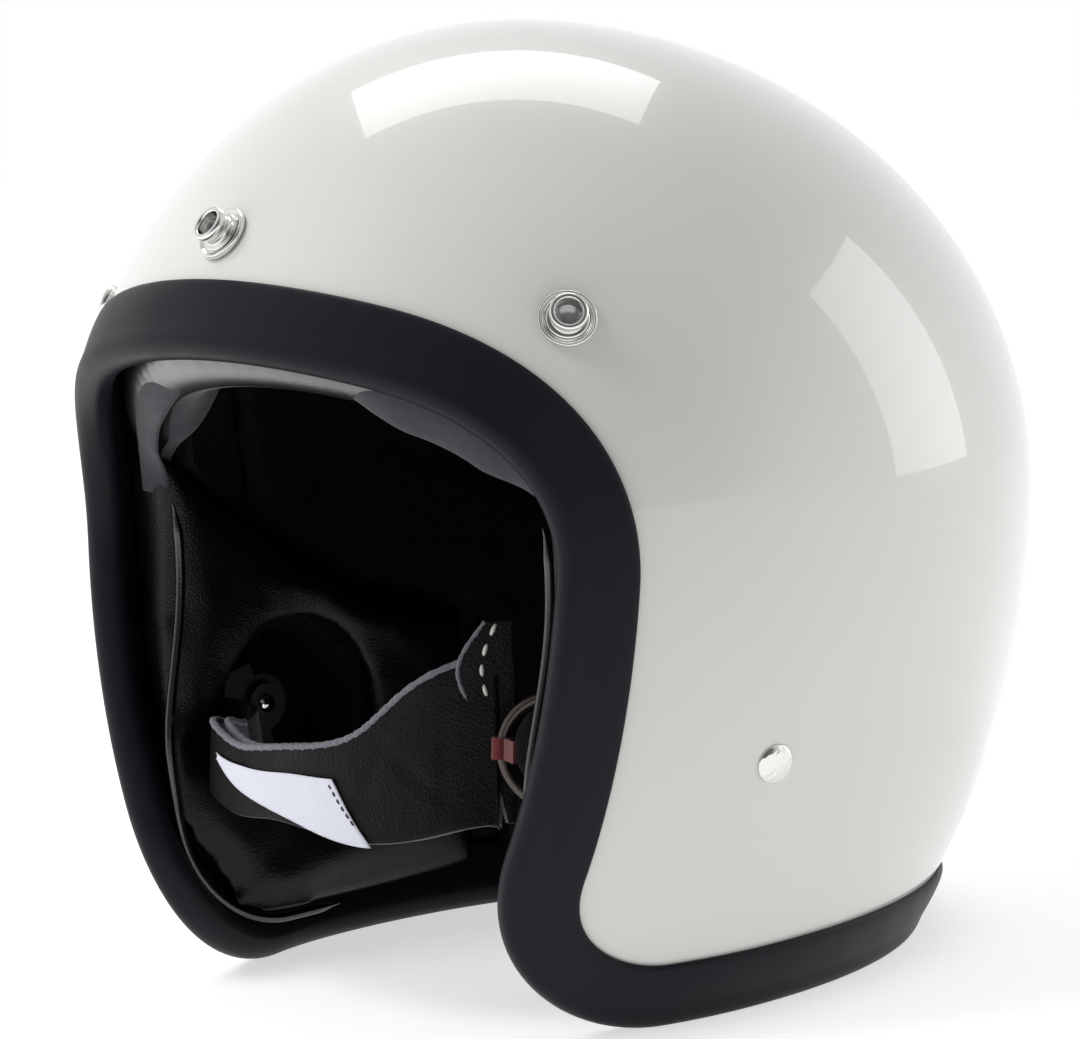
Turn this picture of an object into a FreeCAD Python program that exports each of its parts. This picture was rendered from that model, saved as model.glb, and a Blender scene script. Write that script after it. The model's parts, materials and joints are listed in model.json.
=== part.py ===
# Open-face motorcycle helmet: a glossy glass-fibre shell with a rubber edge trim, a foam impact liner,
# padded comfort liner, three snap studs on the brow and a leather chin strap closed by two D-rings.
#
# It is modelled in the head frame: X to the wearer's left, -Y forward, Z up, with the origin at the
# shell's widest section. At the end the whole helmet is leaned back until its cheeks and its nape
# touch the ground, and set down with its origin at the bottom centre of its box.
import FreeCAD, Part

import math
import os

V = FreeCAD.Vector

# ---- Shell: four quarter ellipsoids that meet at the widest section ----
shell_half_width = 117.0
shell_front = 113.0
shell_back = 145.0
shell_top = 121.0
shell_bottom = 173.0  # semi-axis below the widest section, where the shell narrows to the neck
shell_wall = 4.0

# ---- Rim of the shell in side view (y, z), with the radius that rounds each corner ----
brow_line_start = (-150.0, 60.5)
temple_corner, temple_radius = (-62.5, 18.0), 56.0
hem_slope = 0.125  # the straight hem rises toward the nape; at rest it lies flat
hem_height = -117.2  # where it crosses y = 20
cheek_corner_y, cheek_radius = -61.5, 38.0

# ---- Rubber edge trim, a U channel ----
trim_lip = 14.5  # how far the outer flange reaches up the shell
trim_inner_lip = 11.5
trim_flange = 2.7
trim_lip_thickness = 1.5
trim_bulb = 5.0
trim_grip_gap = 0.3
trim_stations = 60  # sections on each side, from the nape to the brow
trim_butt_gap = 0.6

# ---- Impact liner ----
liner_gap = 0.3
liner_side, liner_front, liner_crown = 25.0, 21.0, 21.0
liner_back = 23.0
liner_inset = 14.0  # from the rim of the shell
cheek_half_width = 84.0  # half the space between the two cheek blocks
neck_semi_axis = 300.0  # how slowly the lower liner closes in
cheek_flatness = 400.0  # semi-axis along Y of the nearly flat cheek surfaces
cheek_zone = [(-95.0, 8.0), (-57.0, 8.0), (8.0, -30.0), (46.0, -36.0), (50.0, -150.0), (-95.0, -150.0)]
zone_gap = 0.5

# ---- Comfort liner ----
crown_pad_thickness = 5.0
brow_pad_thickness = 8.0
cheek_pad_thickness = 8.0
neck_roll_thickness = 12.0
pad_inset = 6.5
brow_pad_height = 32.0
neck_roll_height = 30.0
crown_pad_inset = 34.5
brow_pad_back = -48.0  # where the brow pad ends at each temple
brow_pad_foot = 8.5
piping_radius = 1.3

# ---- Snap studs on the brow ----
snap_height = 64.0  # centre snap
side_snap_x, side_snap_height = 88.3, 44.9
snap_shank_radius = 2.0
snap_clearance = 0.1
snap_washer_radius = 7.0
snap_washer_thickness = 1.0
snap_stud_base_radius = 5.2
snap_stud_neck_radius = 3.9
snap_stud_head_radius = 4.75
snap_stud_height = 5.4
snap_stud_head_height = 1.6
snap_stud_bore_radius = 3.1
snap_stud_floor = 0.8
snap_back_radius = 6.0
snap_back_thickness = 1.0

# ---- Chin strap anchors ----
rivet_y, rivet_z = -10.9, -61.0
rivet_head_radius = 5.0
rivet_head_height = 1.7
rivet_shank_radius = 2.5
rivet_hole_radius = 2.56
rivet_foot_x = 91.4  # the inner end of the shank
rivet_burr_radius = 5.5
rivet_burr_thickness = 1.2
hanger_x = 94.6  # mid plane of the hanger plate
hanger_thickness = 1.6
hanger_radius = 8.0
hanger_half_width = 12.0
hanger_reach = 18.0
hanger_hole_radius = 2.55
hanger_slot_start, hanger_slot_end = 12.2, 15.4
ear_recess_radius = 22.0
ear_pad_radius = 24.0

# ---- Chin strap ----
strap_half_width = 8.0
strap_thickness = 2.0
chin_pad_layer = 1.4
layer_gap = 0.2
label_thickness = 0.4
label_drops = (1.0, 1.5, 2.0, 3.5, 6.0)  # below the middle of the band
label_half_widths = (3.0, 5.5, 7.0, 7.5, 7.5)
ring_wire_radius = 1.6
ring_clearance = 0.06
ring_half_width = 13.0
ring_corner = 2.2
ring_depth = 16.0
ring_spacing = 5.4
sleeve_radius = 2.1
tab_thickness = 0.8
tab_half_width = 2.6
tab_bore = 2.0
tab_length = 13.0
tab_lean = 115.0

# The strap's route: the angle below forward at which each end leaves its pivot, its way out of the ear
# recess as (reach from the pivot, distance from the middle), then the loop under the chin, (x, y, z).
right_exit_angle = 22.0
left_exit_angle = -3.0
exit_route = [(13.8, 96.2), (13.8, 93.0), (14.2, 88.0), (15.2, 82.0), (16.8, 76.0), (20.5, 71.0), (28.0, 68.0)]
loop_route = [
    (-62.0, -48.5, -70.4),
    (-43.0, -57.0, -74.3),
    (-21.0, -61.0, -73.9),
    (0.0, -61.8, -73.7),
    (16.0, -60.0, -72.1),
    (28.0, -57.0, -67.5),
    (38.0, -52.5, -62.0),
    (47.0, -45.2, -59.0),
]
ring_bar = (66.5, -39.5, -59.5)
ring_direction = (-0.793, -0.609, 0.0)
tail_route = [(11.4, -6.2), (8.2, -1.6), (6.6, 3.8), (6.0, 9.6)]  # through the rings
loop_half_widths = [8.9, 9.0, 9.2, 11.2, 14.1, 17.0, 19.5, 21.5]

WIDE = 200.0  # half the length of a cutting prism
RIGHT, LEFT = -1, 1


# ------------------------------------------------------------------ shared shapes
def egg(side, front, back, top, bottom):
    """Four quarter ellipsoids that share their widest sections."""
    quarters = []
    for turn, length in ((180, front), (0, back)):
        for low, high, height in ((0, 90, top), (-90, 0, bottom)):
            ball = Part.makeSphere(1.0, V(0, 0, 0), V(0, 0, 1), low, high, 180)
            ball.rotate(V(0, 0, 0), V(0, 0, 1), turn)
            stretch = FreeCAD.Matrix()
            stretch.scale(side, length, height)
            quarters.append(ball.transformGeometry(stretch))
    return quarters[0].multiFuse(quarters[1:])


def shell_egg(inward):
    """The shell's outer surface, moved inward."""
    sizes = (shell_half_width, shell_front, shell_back, shell_top, shell_bottom)
    return egg(*(size - inward for size in sizes))


def shell_normal(point, inward=0.0):
    """Outward normal of the shell's surface, moved inward, at a point on it."""
    length = shell_front if point.y < 0 else shell_back
    height = shell_top if point.z > 0 else shell_bottom
    normal = V(
        point.x / (shell_half_width - inward) ** 2,
        point.y / (length - inward) ** 2,
        point.z / (height - inward) ** 2,
    )
    return normal.normalize()


def on_shell(point, normal):
    """Where the line through a point along normal meets the middle of the wall."""
    inward = shell_wall / 2
    sizes = (
        shell_half_width - inward,
        (shell_front if point.y < 0 else shell_back) - inward,
        (shell_top if point.z > 0 else shell_bottom) - inward,
    )
    square = sum((n / size) ** 2 for n, size in zip(normal, sizes))
    linear = sum(n * q / size**2 for n, q, size in zip(normal, point, sizes))
    rest = sum((q / size) ** 2 for q, size in zip(point, sizes)) - 1
    return point + normal * ((math.sqrt(linear**2 - square * rest) - linear) / square)


def shell_point(x, z):
    """The point of the outer surface at the front with this x and z."""
    inside = 1 - (x / shell_half_width) ** 2 - (z / shell_top) ** 2
    return V(x, -shell_front * math.sqrt(inside), z)


def rounded_chain(corners):
    """Edges along a chain of (y, z, radius), each corner rounded by a tangent arc."""
    points = [V(0, y, z) for y, z, _ in corners]
    edges = []
    last = points[0]
    for k in range(1, len(points) - 1):
        radius = corners[k][2]
        before = (points[k - 1] - points[k]).normalize()
        after = (points[k + 1] - points[k]).normalize()
        half = before.getAngle(after) / 2
        start = points[k] + before * (radius / math.tan(half))
        end = points[k] + after * (radius / math.tan(half))
        middle = points[k] + (before + after).normalize() * (radius / math.sin(half) - radius)
        edges.append(Part.LineSegment(last, start).toShape())
        edges.append(Part.Arc(start, middle, end).toShape())
        last = end
    edges.append(Part.LineSegment(last, points[-1]).toShape())
    return edges


def crossing(a, b, c, d):
    """Where line a-b meets line c-d, all (y, z)."""
    across = (b[0] - a[0]) * (d[1] - c[1]) - (b[1] - a[1]) * (d[0] - c[0])
    share = ((c[0] - a[0]) * (d[1] - c[1]) - (c[1] - a[1]) * (d[0] - c[0])) / across
    return (a[0] + share * (b[0] - a[0]), a[1] + share * (b[1] - a[1]))


def rim_chain(inset):
    """The rim in side view, moved into the shell by inset."""
    def hem(y):
        return (y, hem_height + hem_slope * (y - 20.0))

    corners = [brow_line_start, temple_corner, hem(cheek_corner_y), hem(165.0)]
    sides = []
    for a, b in zip(corners, corners[1:]):
        length = math.hypot(b[0] - a[0], b[1] - a[1])
        shift = (-(b[1] - a[1]) / length * inset, (b[0] - a[0]) / length * inset)
        sides.append(((a[0] + shift[0], a[1] + shift[1]), (b[0] + shift[0], b[1] + shift[1])))
    moved = [crossing(*sides[k], *sides[k + 1]) for k in range(2)]
    radii = [temple_radius + inset, max(cheek_radius - inset, 2.0)]
    chain = [(*sides[0][0], 0)] + [(*p, r) for p, r in zip(moved, radii)] + [(*sides[-1][1], 0)]
    return rounded_chain(chain)


def prism(edges):
    """A solid of the closed (y, z) outline, from side to side."""
    face = Part.Face(Part.Wire(edges))
    face.translate(V(-WIDE, 0, 0))
    return face.extrude(V(2 * WIDE, 0, 0))


def keep(inset):
    """Everything inside the rim of the shell, moved in by inset."""
    chain = rim_chain(inset)
    start = chain[0].Vertexes[0].Point
    end = chain[-1].Vertexes[-1].Point
    closing = [end, V(0, end.y, WIDE), V(0, start.y, WIDE), start]
    lines = [Part.LineSegment(a, b).toShape() for a, b in zip(closing, closing[1:])]
    return prism(chain + lines)


def polygon_prism(corners):
    points = [V(0, y, z) for y, z in corners]
    return prism([Part.LineSegment(a, b).toShape() for a, b in zip(points, points[1:] + points[:1])])


def grown(corners, amount):
    """A polygon's corners moved away from its middle by about amount."""
    middle = (sum(c[0] for c in corners) / len(corners), sum(c[1] for c in corners) / len(corners))
    moved = []
    for y, z in corners:
        away = (y - middle[0], z - middle[1])
        share = amount / math.hypot(*away) * 1.4
        moved.append((y + away[0] * share, z + away[1] * share))
    return moved


def box(low, high):
    return Part.makeBox(high[0] - low[0], high[1] - low[1], high[2] - low[2], V(*low))


def half_space(side):
    """Everything on the wearer's left (side 1) or right (side -1)."""
    return box((0 if side > 0 else -WIDE, -WIDE, -WIDE), (WIDE if side > 0 else 0, WIDE, WIDE))


def turned(profile):
    """A solid of revolution about Z from (radius, z) corners."""
    points = [V(r, 0, z) for r, z in profile]
    face = Part.Face(Part.makePolygon(points + points[:1]))
    return face.revolve(V(0, 0, 0), V(0, 0, 1), 360)


def stood_on(shape, point, direction):
    """A copy of a shape made about +Z at the origin, set at a point with +Z along direction."""
    placed = shape.copy()
    placed.Placement = FreeCAD.Placement(point, FreeCAD.Rotation(V(0, 0, 1), direction))
    return placed


def mirrored(shape):
    return shape.mirror(V(0, 0, 0), V(1, 0, 0))


# ------------------------------------------------------------------ places
snap_points = [shell_point(x, z) for x, z in
               ((0, snap_height), (side_snap_x, side_snap_height), (-side_snap_x, side_snap_height))]

rivet_x = shell_half_width * math.sqrt(1 - (rivet_y / shell_front) ** 2 - (rivet_z / shell_bottom) ** 2)
rivet_points = {side: V(side * rivet_x, rivet_y, rivet_z) for side in (RIGHT, LEFT)}


# the strap swings about X through both rivets
pivot = V(hanger_x, rivet_y, rivet_z)


# ------------------------------------------------------------------ shell and trim
def make_shell():
    wall = shell_egg(0).cut(shell_egg(shell_wall)).common(keep(0))
    drill = Part.makeCylinder(snap_shank_radius + snap_clearance, 4 * shell_wall, V(0, 0, -2 * shell_wall))
    holes = [stood_on(drill, p, shell_normal(p)) for p in snap_points]
    holes.append(Part.makeCylinder(rivet_hole_radius, 2 * WIDE, V(-WIDE, rivet_y, rivet_z), V(1, 0, 0)))
    return wall.cut(holes)


def rim_points():
    """Points along the middle of the shell's edge, from the nape round the left side to the brow."""
    middle = shell_egg(shell_wall / 2)
    skin = Part.makeCompound(middle.Faces)
    wall = Part.makeCompound([e.extrude(V(WIDE, 0, 0)) for e in rim_chain(0)])
    wire = Part.Wire(Part.sortEdges(skin.section(wall).Edges)[0])
    points = wire.discretize(Number=trim_stations + 1)
    return points if points[0].y > points[-1].y else points[::-1]


def rim_frames():
    """(point, outward along the shell, normal) for stations right round the rim, nape to nape."""
    left = rim_points()
    right = [V(-p.x, p.y, p.z) for p in left[-2::-1]]
    loop = left + right
    loop[0] = V(trim_butt_gap / 2, loop[0].y, loop[0].z)
    loop[-1] = V(-trim_butt_gap / 2, loop[-1].y, loop[-1].z)
    loop[trim_stations] = V(0, loop[trim_stations].y, loop[trim_stations].z)
    frames = []
    for k, point in enumerate(loop):
        before = loop[k - 1] if k > 0 else loop[-2]
        after = loop[k + 1] if k < len(loop) - 1 else loop[1]
        normal = shell_normal(point, shell_wall / 2)
        along = (after - before).normalize()
        outward = normal.cross(along).normalize()
        frames.append((point, outward, normal))
    return frames


def cut_slope(chain, point, outward, normal):
    """How far the shell's cut edge runs out along the surface per unit of wall thickness."""
    flat = V(0, point.y, point.z)
    edge = min(chain, key=lambda e: e.distToShape(Part.Vertex(flat))[0])
    facing = edge.tangentAt(edge.Curve.parameter(flat)).cross(V(1, 0, 0))
    return -facing.dot(normal) / facing.dot(outward)


def trim_section(chain, point, outward, normal):
    """One section of the channel: a slot on the shell's wall, a round bulb and two flanges."""
    half = shell_wall / 2 + trim_grip_gap
    slope = cut_slope(chain, point, outward, normal)
    outer = half + trim_flange

    def at(e, n):
        return on_shell(point + outward * e, normal) + normal * n

    bulb = Part.BSplineCurve()
    bulb.interpolate([
        at(-trim_lip, half + trim_lip_thickness),
        at(-trim_lip * 0.5, outer - 0.3),
        at(0, outer),
        at(trim_bulb * 0.75, outer * 0.62),
        at(trim_bulb, 0),
        at(trim_bulb * 0.75, -outer * 0.62),
        at(0, -outer),
        at(-trim_inner_lip * 0.5, -outer + 0.3),
        at(-trim_inner_lip, -half - trim_lip_thickness),
    ])
    corners = [
        at(-trim_inner_lip, -half - trim_lip_thickness),
        at(-trim_inner_lip, -half),
        at(trim_grip_gap - slope * half, -half),
        at(trim_grip_gap + slope * half, half),
        at(-trim_lip, half),
        at(-trim_lip, half + trim_lip_thickness),
    ]
    lines = [Part.LineSegment(a, b).toShape() for a, b in zip(corners, corners[1:])]
    return Part.Wire([bulb.toShape()] + lines)


def make_trim():
    frames = rim_frames()
    chain = rim_chain(0)
    sections = [trim_section(chain, *frame) for frame in frames]
    return Part.makeLoft(sections, True, False)


# ------------------------------------------------------------------ impact liner
def crown_hollow(inward):
    return egg(
        shell_half_width - shell_wall - liner_side - inward,
        shell_front - shell_wall - liner_front - inward,
        shell_back - shell_wall - liner_back - inward,
        shell_top - shell_wall - liner_crown - inward,
        neck_semi_axis - inward,
    )


def cheek_hollow(inward):
    return egg(cheek_half_width - inward, cheek_flatness, cheek_flatness, neck_semi_axis, neck_semi_axis)


def ear_recess(radius):
    """A round hole along X through both cheeks, about the strap's pivot."""
    return Part.makeCylinder(radius, 2 * WIDE, V(-WIDE, pivot.y, pivot.z), V(1, 0, 0))


def snap_pockets():
    pocket = Part.makeCylinder(snap_back_radius + 1.5, 9.0, V(0, 0, -shell_wall - 4.5))
    return [stood_on(pocket, p, shell_normal(p)) for p in snap_points]


def make_crown_liner():
    body = shell_egg(shell_wall + liner_gap).common(keep(liner_inset))
    body = body.cut([crown_hollow(0), polygon_prism(grown(cheek_zone, zone_gap))])
    return body.cut(snap_pockets())


def make_cheek_block(side):
    body = shell_egg(shell_wall + liner_gap).common(keep(liner_inset))
    body = body.common(polygon_prism(cheek_zone)).common(half_space(side))
    return body.cut([cheek_hollow(0), ear_recess(ear_recess_radius)])


# ------------------------------------------------------------------ comfort liner
def pad_block(hollow, inner, zone):
    """Foam between a hollow of the impact liner and the inner surface, with a lip over its edge."""
    behind_trim = shell_egg(shell_wall + trim_grip_gap + trim_flange + 0.5)
    body = behind_trim.common(keep(pad_inset)).common(zone)
    foam = keep(liner_inset - liner_gap).cut(hollow)
    return body.cut([inner, foam])


def biggest(shape):
    return max(shape.Solids, key=lambda s: s.Volume)


def make_brow_pad():
    zone = box((-WIDE, -WIDE, brow_pad_foot), (WIDE, brow_pad_back, WIDE)).cut(keep(brow_pad_height))
    return biggest(pad_block(crown_hollow(liner_gap), crown_hollow(brow_pad_thickness), zone))


def make_cheek_pad(side):
    zone = polygon_prism(cheek_zone).common(half_space(side))
    pad = pad_block(cheek_hollow(liner_gap), cheek_hollow(cheek_pad_thickness), zone)
    return biggest(pad.cut(ear_recess(ear_pad_radius)))


def make_neck_roll():
    zone = box((-WIDE, cheek_zone[3][0] + 6, -WIDE), (WIDE, WIDE, WIDE)).cut(keep(neck_roll_height))
    return biggest(pad_block(crown_hollow(liner_gap), crown_hollow(neck_roll_thickness), zone))


def make_crown_pad():
    body = crown_hollow(liner_gap).cut(crown_hollow(crown_pad_thickness))
    body = body.common(keep(crown_pad_inset))
    return biggest(body.cut(polygon_prism(grown(cheek_zone, 2 * zone_gap))))


# ------------------------------------------------------------------ snap studs
def make_snap_pieces():
    clear = snap_shank_radius + snap_clearance
    seat = 0.06
    top = seat + snap_washer_thickness
    washer = turned([
        (clear, seat), (snap_washer_radius, seat), (snap_washer_radius, top + 0.35),
        (snap_washer_radius - 0.5, top + 0.6), (snap_stud_base_radius + 0.5, top + 0.1),
        (snap_stud_base_radius + 0.3, top), (clear, top),
    ])
    floor = top + 0.05
    head = floor + snap_stud_height
    stud = turned([
        (clear, floor), (snap_stud_base_radius, floor), (snap_stud_base_radius, floor + 0.7),
        (snap_stud_neck_radius, floor + 1.1), (snap_stud_neck_radius, head - snap_stud_head_height - 0.6),
        (snap_stud_head_radius, head - snap_stud_head_height), (snap_stud_head_radius, head - 0.4),
        (snap_stud_head_radius - 0.4, head), (snap_stud_bore_radius + 0.3, head),
        (snap_stud_bore_radius, head - 0.5), (snap_stud_bore_radius, floor + snap_stud_floor),
        (clear, floor + snap_stud_floor),
    ])
    back_top = -shell_wall - 0.3
    back_foot = back_top - snap_back_thickness
    backing = turned([(clear, back_top), (snap_back_radius, back_top), (snap_back_radius, back_foot),
                      (clear, back_foot)])
    inner = floor + snap_stud_floor + 0.04
    rivet = turned([
        (0, inner + 1.0), (1.6, inner + 0.95), (2.9, inner + 0.35), (2.9, inner),
        (snap_shank_radius, inner), (snap_shank_radius, back_foot - 0.04), (3.4, back_foot - 0.04),
        (3.2, back_foot - 0.9), (1.0, back_foot - 1.1), (0, back_foot - 1.1),
    ])
    pieces = {}
    for name, piece in (("snap_washers", washer), ("snap_studs", stud), ("snap_back_washers", backing),
                        ("snap_rivets", rivet)):
        pieces[name] = Part.makeCompound([stood_on(piece, p, shell_normal(p)) for p in snap_points])
    for name, p in zip(("centre", "left", "right"), snap_points):
        at = p + shell_normal(p) * (head - snap_stud_head_height / 2 - 0.2)
        normal = shell_normal(p)
        print("snap", name, at.x, at.y, at.z, normal.x, normal.y, normal.z)
    return pieces


# ------------------------------------------------------------------ strap anchors
def make_strap_rivets():
    """Domed heads on the shell, each with a shank along X through the hanger plate."""
    seat = 0.05
    dome = turned([
        (0, seat + rivet_head_height), (rivet_head_radius * 0.55, seat + rivet_head_height * 0.88),
        (rivet_head_radius * 0.9, seat + rivet_head_height * 0.45), (rivet_head_radius, seat), (0, seat),
    ])
    left = stood_on(dome, rivet_points[LEFT], shell_normal(rivet_points[LEFT]))
    foot = V(rivet_foot_x, rivet_y, rivet_z)
    shank = Part.makeCylinder(rivet_shank_radius, rivet_x + 0.8 - rivet_foot_x, foot, V(1, 0, 0))
    left = left.fuse(shank).removeSplitter()
    return Part.makeCompound([left.Solids[0], mirrored(left.Solids[0])])


def make_strap_burrs():
    """Washers pressed on the shanks' inner ends, which keep the hanger plates on."""
    start = V(rivet_foot_x + 0.6, rivet_y, rivet_z)
    outer = Part.makeCylinder(rivet_burr_radius, rivet_burr_thickness, start, V(1, 0, 0))
    inner = Part.makeCylinder(rivet_shank_radius + 0.02, rivet_burr_thickness, start, V(1, 0, 0))
    left = outer.cut(inner)
    return Part.makeCompound([left.Solids[0], mirrored(left.Solids[0])])


def exit_frame(side):
    """(direction in which a strap end leaves its pivot, direction across the strap)."""
    angle = math.radians(right_exit_angle if side == RIGHT else left_exit_angle)
    return V(0, -math.cos(angle), -math.sin(angle)), V(0, -math.sin(angle), math.cos(angle))


def make_hanger(side):
    """A steel plate that turns on the rivet, with a slot for the strap."""
    forward, across = exit_frame(side)
    centre = V(side * hanger_x - hanger_thickness / 2, pivot.y, pivot.z)
    disc = Part.makeCylinder(hanger_radius, hanger_thickness, centre, V(1, 0, 0))

    def bar(start, end, half):
        corners = [centre + forward * start + across * half, centre + forward * end + across * half,
                   centre + forward * end - across * half, centre + forward * start - across * half]
        return Part.Face(Part.makePolygon(corners + corners[:1])).extrude(V(hanger_thickness, 0, 0))

    tongue = bar(0, hanger_reach, hanger_half_width).common(
        Part.makeCylinder(hanger_reach + 2, hanger_thickness, centre, V(1, 0, 0)))
    plate = disc.fuse(tongue).removeSplitter()
    hole = Part.makeCylinder(hanger_hole_radius, hanger_thickness, centre, V(1, 0, 0))
    slot = bar(hanger_slot_start, hanger_slot_end, strap_half_width + 0.4)
    return plate.cut([hole, slot])


# ------------------------------------------------------------------ chin strap
def exit_points(side):
    forward, across = exit_frame(side)
    return [V(side * x, pivot.y, pivot.z) + forward * reach for reach, x in exit_route]


def along_knots(values, knots, t):
    """A smooth value at t, from one value per knot."""
    k = max(i for i in range(len(knots) - 1) if knots[i] <= t or i == 0)

    def slope(i):
        i0, i1 = max(i - 1, 0), min(i + 1, len(knots) - 1)
        return (values[i1] - values[i0]) * (1.0 / (knots[i1] - knots[i0]))

    span = knots[k + 1] - knots[k]
    u = (t - knots[k]) / span
    step = values[k + 1] - values[k]
    rise = slope(k) * (span * u * (1 - u) ** 2) - slope(k + 1) * (span * u * u * (1 - u))
    return values[k] + step * (u * u * (3 - 2 * u)) + rise


class Route:
    """A strap's middle line with its direction across, sampled at the same stations for every layer."""

    steps = 3  # stations in each span

    def __init__(self, points, widths):
        middle = Part.BSplineCurve()
        middle.interpolate(points)
        knots = [middle.parameter(p) for p in points]
        self.knots = knots
        self.stations = []
        for a, b in zip(knots, knots[1:]):
            self.stations += [a + (b - a) * k / self.steps for k in range(self.steps)]
        self.stations.append(knots[-1])
        self.frames = []
        for t in self.stations:
            along = V(*middle.tangent(t)[0])
            side = along_knots(widths, knots, t)
            side = (side - along * side.dot(along)).normalize()
            self.frames.append((middle.value(t), side, along.cross(side).normalize()))

    def strip(self, first, last, half_widths, low, high, drops=None):
        """A flat strip from one route point to another, between two distances from the middle."""
        knots = self.knots[first:last + 1]
        drops = drops or [0.0] * len(knots)
        sections = []
        for k in range(first * self.steps, last * self.steps + 1):
            point, side, normal = self.frames[k]
            half = along_knots(half_widths, knots, self.stations[k])
            drop = along_knots(drops, knots, self.stations[k])
            point = point - side * drop
            corners = [
                point + side * half + normal * low, point + side * half + normal * high,
                point - side * half + normal * high, point - side * half + normal * low,
            ]
            sections.append(Part.makePolygon(corners + corners[:1]))
        return Part.makeLoft(sections, True, False)


def blended(first, last, count):
    """Directions across: the same for three stations, then turning evenly to the last one."""
    turning = [(first * (1 - k / (count - 3)) + last * (k / (count - 3))).normalize()
               for k in range(count - 2)]
    return [first, first] + turning


def ring_frame():
    """The rings' hinge point, the way they point, across the strap, and out away from the chin."""
    towards = V(*ring_direction).normalize()
    across = V(0, 0, 1)
    across = (across - towards * across.dot(towards)).normalize()
    outward = across.cross(towards).normalize()
    return V(*ring_bar), towards, across, outward


def in_rings(along, out):
    """A point in the rings' own frame."""
    bar, towards, _, outward = ring_frame()
    return bar + towards * along + outward * out


def make_strap_pieces():
    _, right_across = exit_frame(RIGHT)
    _, _, across, _ = ring_frame()
    up = V(0, 0, 1)
    leaving = exit_points(RIGHT)
    tail = [in_rings(*p) for p in tail_route]
    points = leaving + [V(*p) for p in loop_route] + tail
    widths = blended(right_across, up, len(leaving) + 1) + [up] * (len(loop_route) - 1) + [across] * len(tail)
    route = Route(points, widths)
    core = strap_thickness / 2
    last = len(points) - 1
    pieces = {"strap_long": route.strip(0, last, [strap_half_width] * (last + 1), -core, core)}
    start, end = len(leaving) - 1, len(leaving) + len(loop_route) - 1
    halves = [strap_half_width + 0.7] + loop_half_widths
    inner = core + layer_gap
    outer = inner + chin_pad_layer
    pieces["chin_pad_face"] = route.strip(start, end, halves, inner, outer)
    pieces["chin_pad_back"] = route.strip(start, end, halves, -outer, -inner)
    face = outer + layer_gap
    pieces["strap_label"] = route.strip(
        start + 1, start + 5, label_half_widths, face, face + label_thickness, label_drops)
    return pieces


def make_short_strap():
    """The left strap end, with a sewn sleeve for each ring's straight bar."""
    _, left_across = exit_frame(LEFT)
    _, towards, across, _ = ring_frame()
    points = exit_points(LEFT)[:-1] + [in_rings(-6.0, 0), in_rings(-2.6, 0), in_rings(0.0, 0)]
    route = Route(points, blended(left_across, across, len(points)))
    strip = route.strip(0, len(points) - 1, [strap_half_width] * len(points), -1.0, 1.0)
    start = across * -strap_half_width
    sleeves, bores = [], []
    for level in (-ring_spacing / 2, ring_spacing / 2):
        at = in_rings(0, level) + start
        sleeves.append(Part.makeCylinder(sleeve_radius, 2 * strap_half_width, at, across))
        bore = ring_wire_radius + ring_clearance
        bores.append(Part.makeCylinder(bore, 3 * strap_half_width, at - across * 4.0, across))
    return strip.fuse(sleeves).cut(bores)


def make_ring(level):
    """A D of round wire, its straight bar across the strap."""
    _, towards, across, _ = ring_frame()
    half = ring_half_width - ring_corner
    neck = ring_depth - ring_half_width

    def at(along, side):
        return in_rings(along, level) + across * side

    def arc(a, b, c):
        return Part.Arc(a, b, c).toShape()

    def line(a, b):
        return Part.LineSegment(a, b).toShape()

    bend = ring_corner * (1 - math.sqrt(0.5))
    edges = [
        line(at(0, 0), at(0, half)),
        arc(at(0, half), at(bend, ring_half_width - bend), at(ring_corner, ring_half_width)),
        line(at(ring_corner, ring_half_width), at(neck, ring_half_width)),
        arc(at(neck, ring_half_width), at(ring_depth, 0), at(neck, -ring_half_width)),
        line(at(neck, -ring_half_width), at(ring_corner, -ring_half_width)),
        arc(at(ring_corner, -ring_half_width), at(bend, -ring_half_width + bend), at(0, -half)),
        line(at(0, -half), at(0, 0)),
    ]
    circle = Part.Wire(Part.makeCircle(ring_wire_radius, at(0, 0), across))
    return Part.Wire(edges).makePipeShell([circle], True, False)


def make_release_tab():
    """A strip with a loop round the outer ring's tip."""
    _, towards, across, outward = ring_frame()
    level = ring_spacing / 2
    centre = in_rings(ring_depth, level)
    start = centre - across * tab_half_width
    sleeve = Part.makeCylinder(tab_bore + tab_thickness, 2 * tab_half_width, start, across)
    bore = Part.makeCylinder(tab_bore, 2 * tab_half_width, start, across)
    lean = math.radians(tab_lean)
    along = towards * math.cos(lean) + outward * math.sin(lean)
    lift = across.cross(along) * (tab_thickness / 2)
    points = [start + lift, start - lift, start - lift + along * tab_length, start + lift + along * tab_length]
    blade = Part.Face(Part.makePolygon(points + points[:1])).extrude(across * (2 * tab_half_width))
    return sleeve.fuse(blade).removeSplitter().cut(bore)


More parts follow.
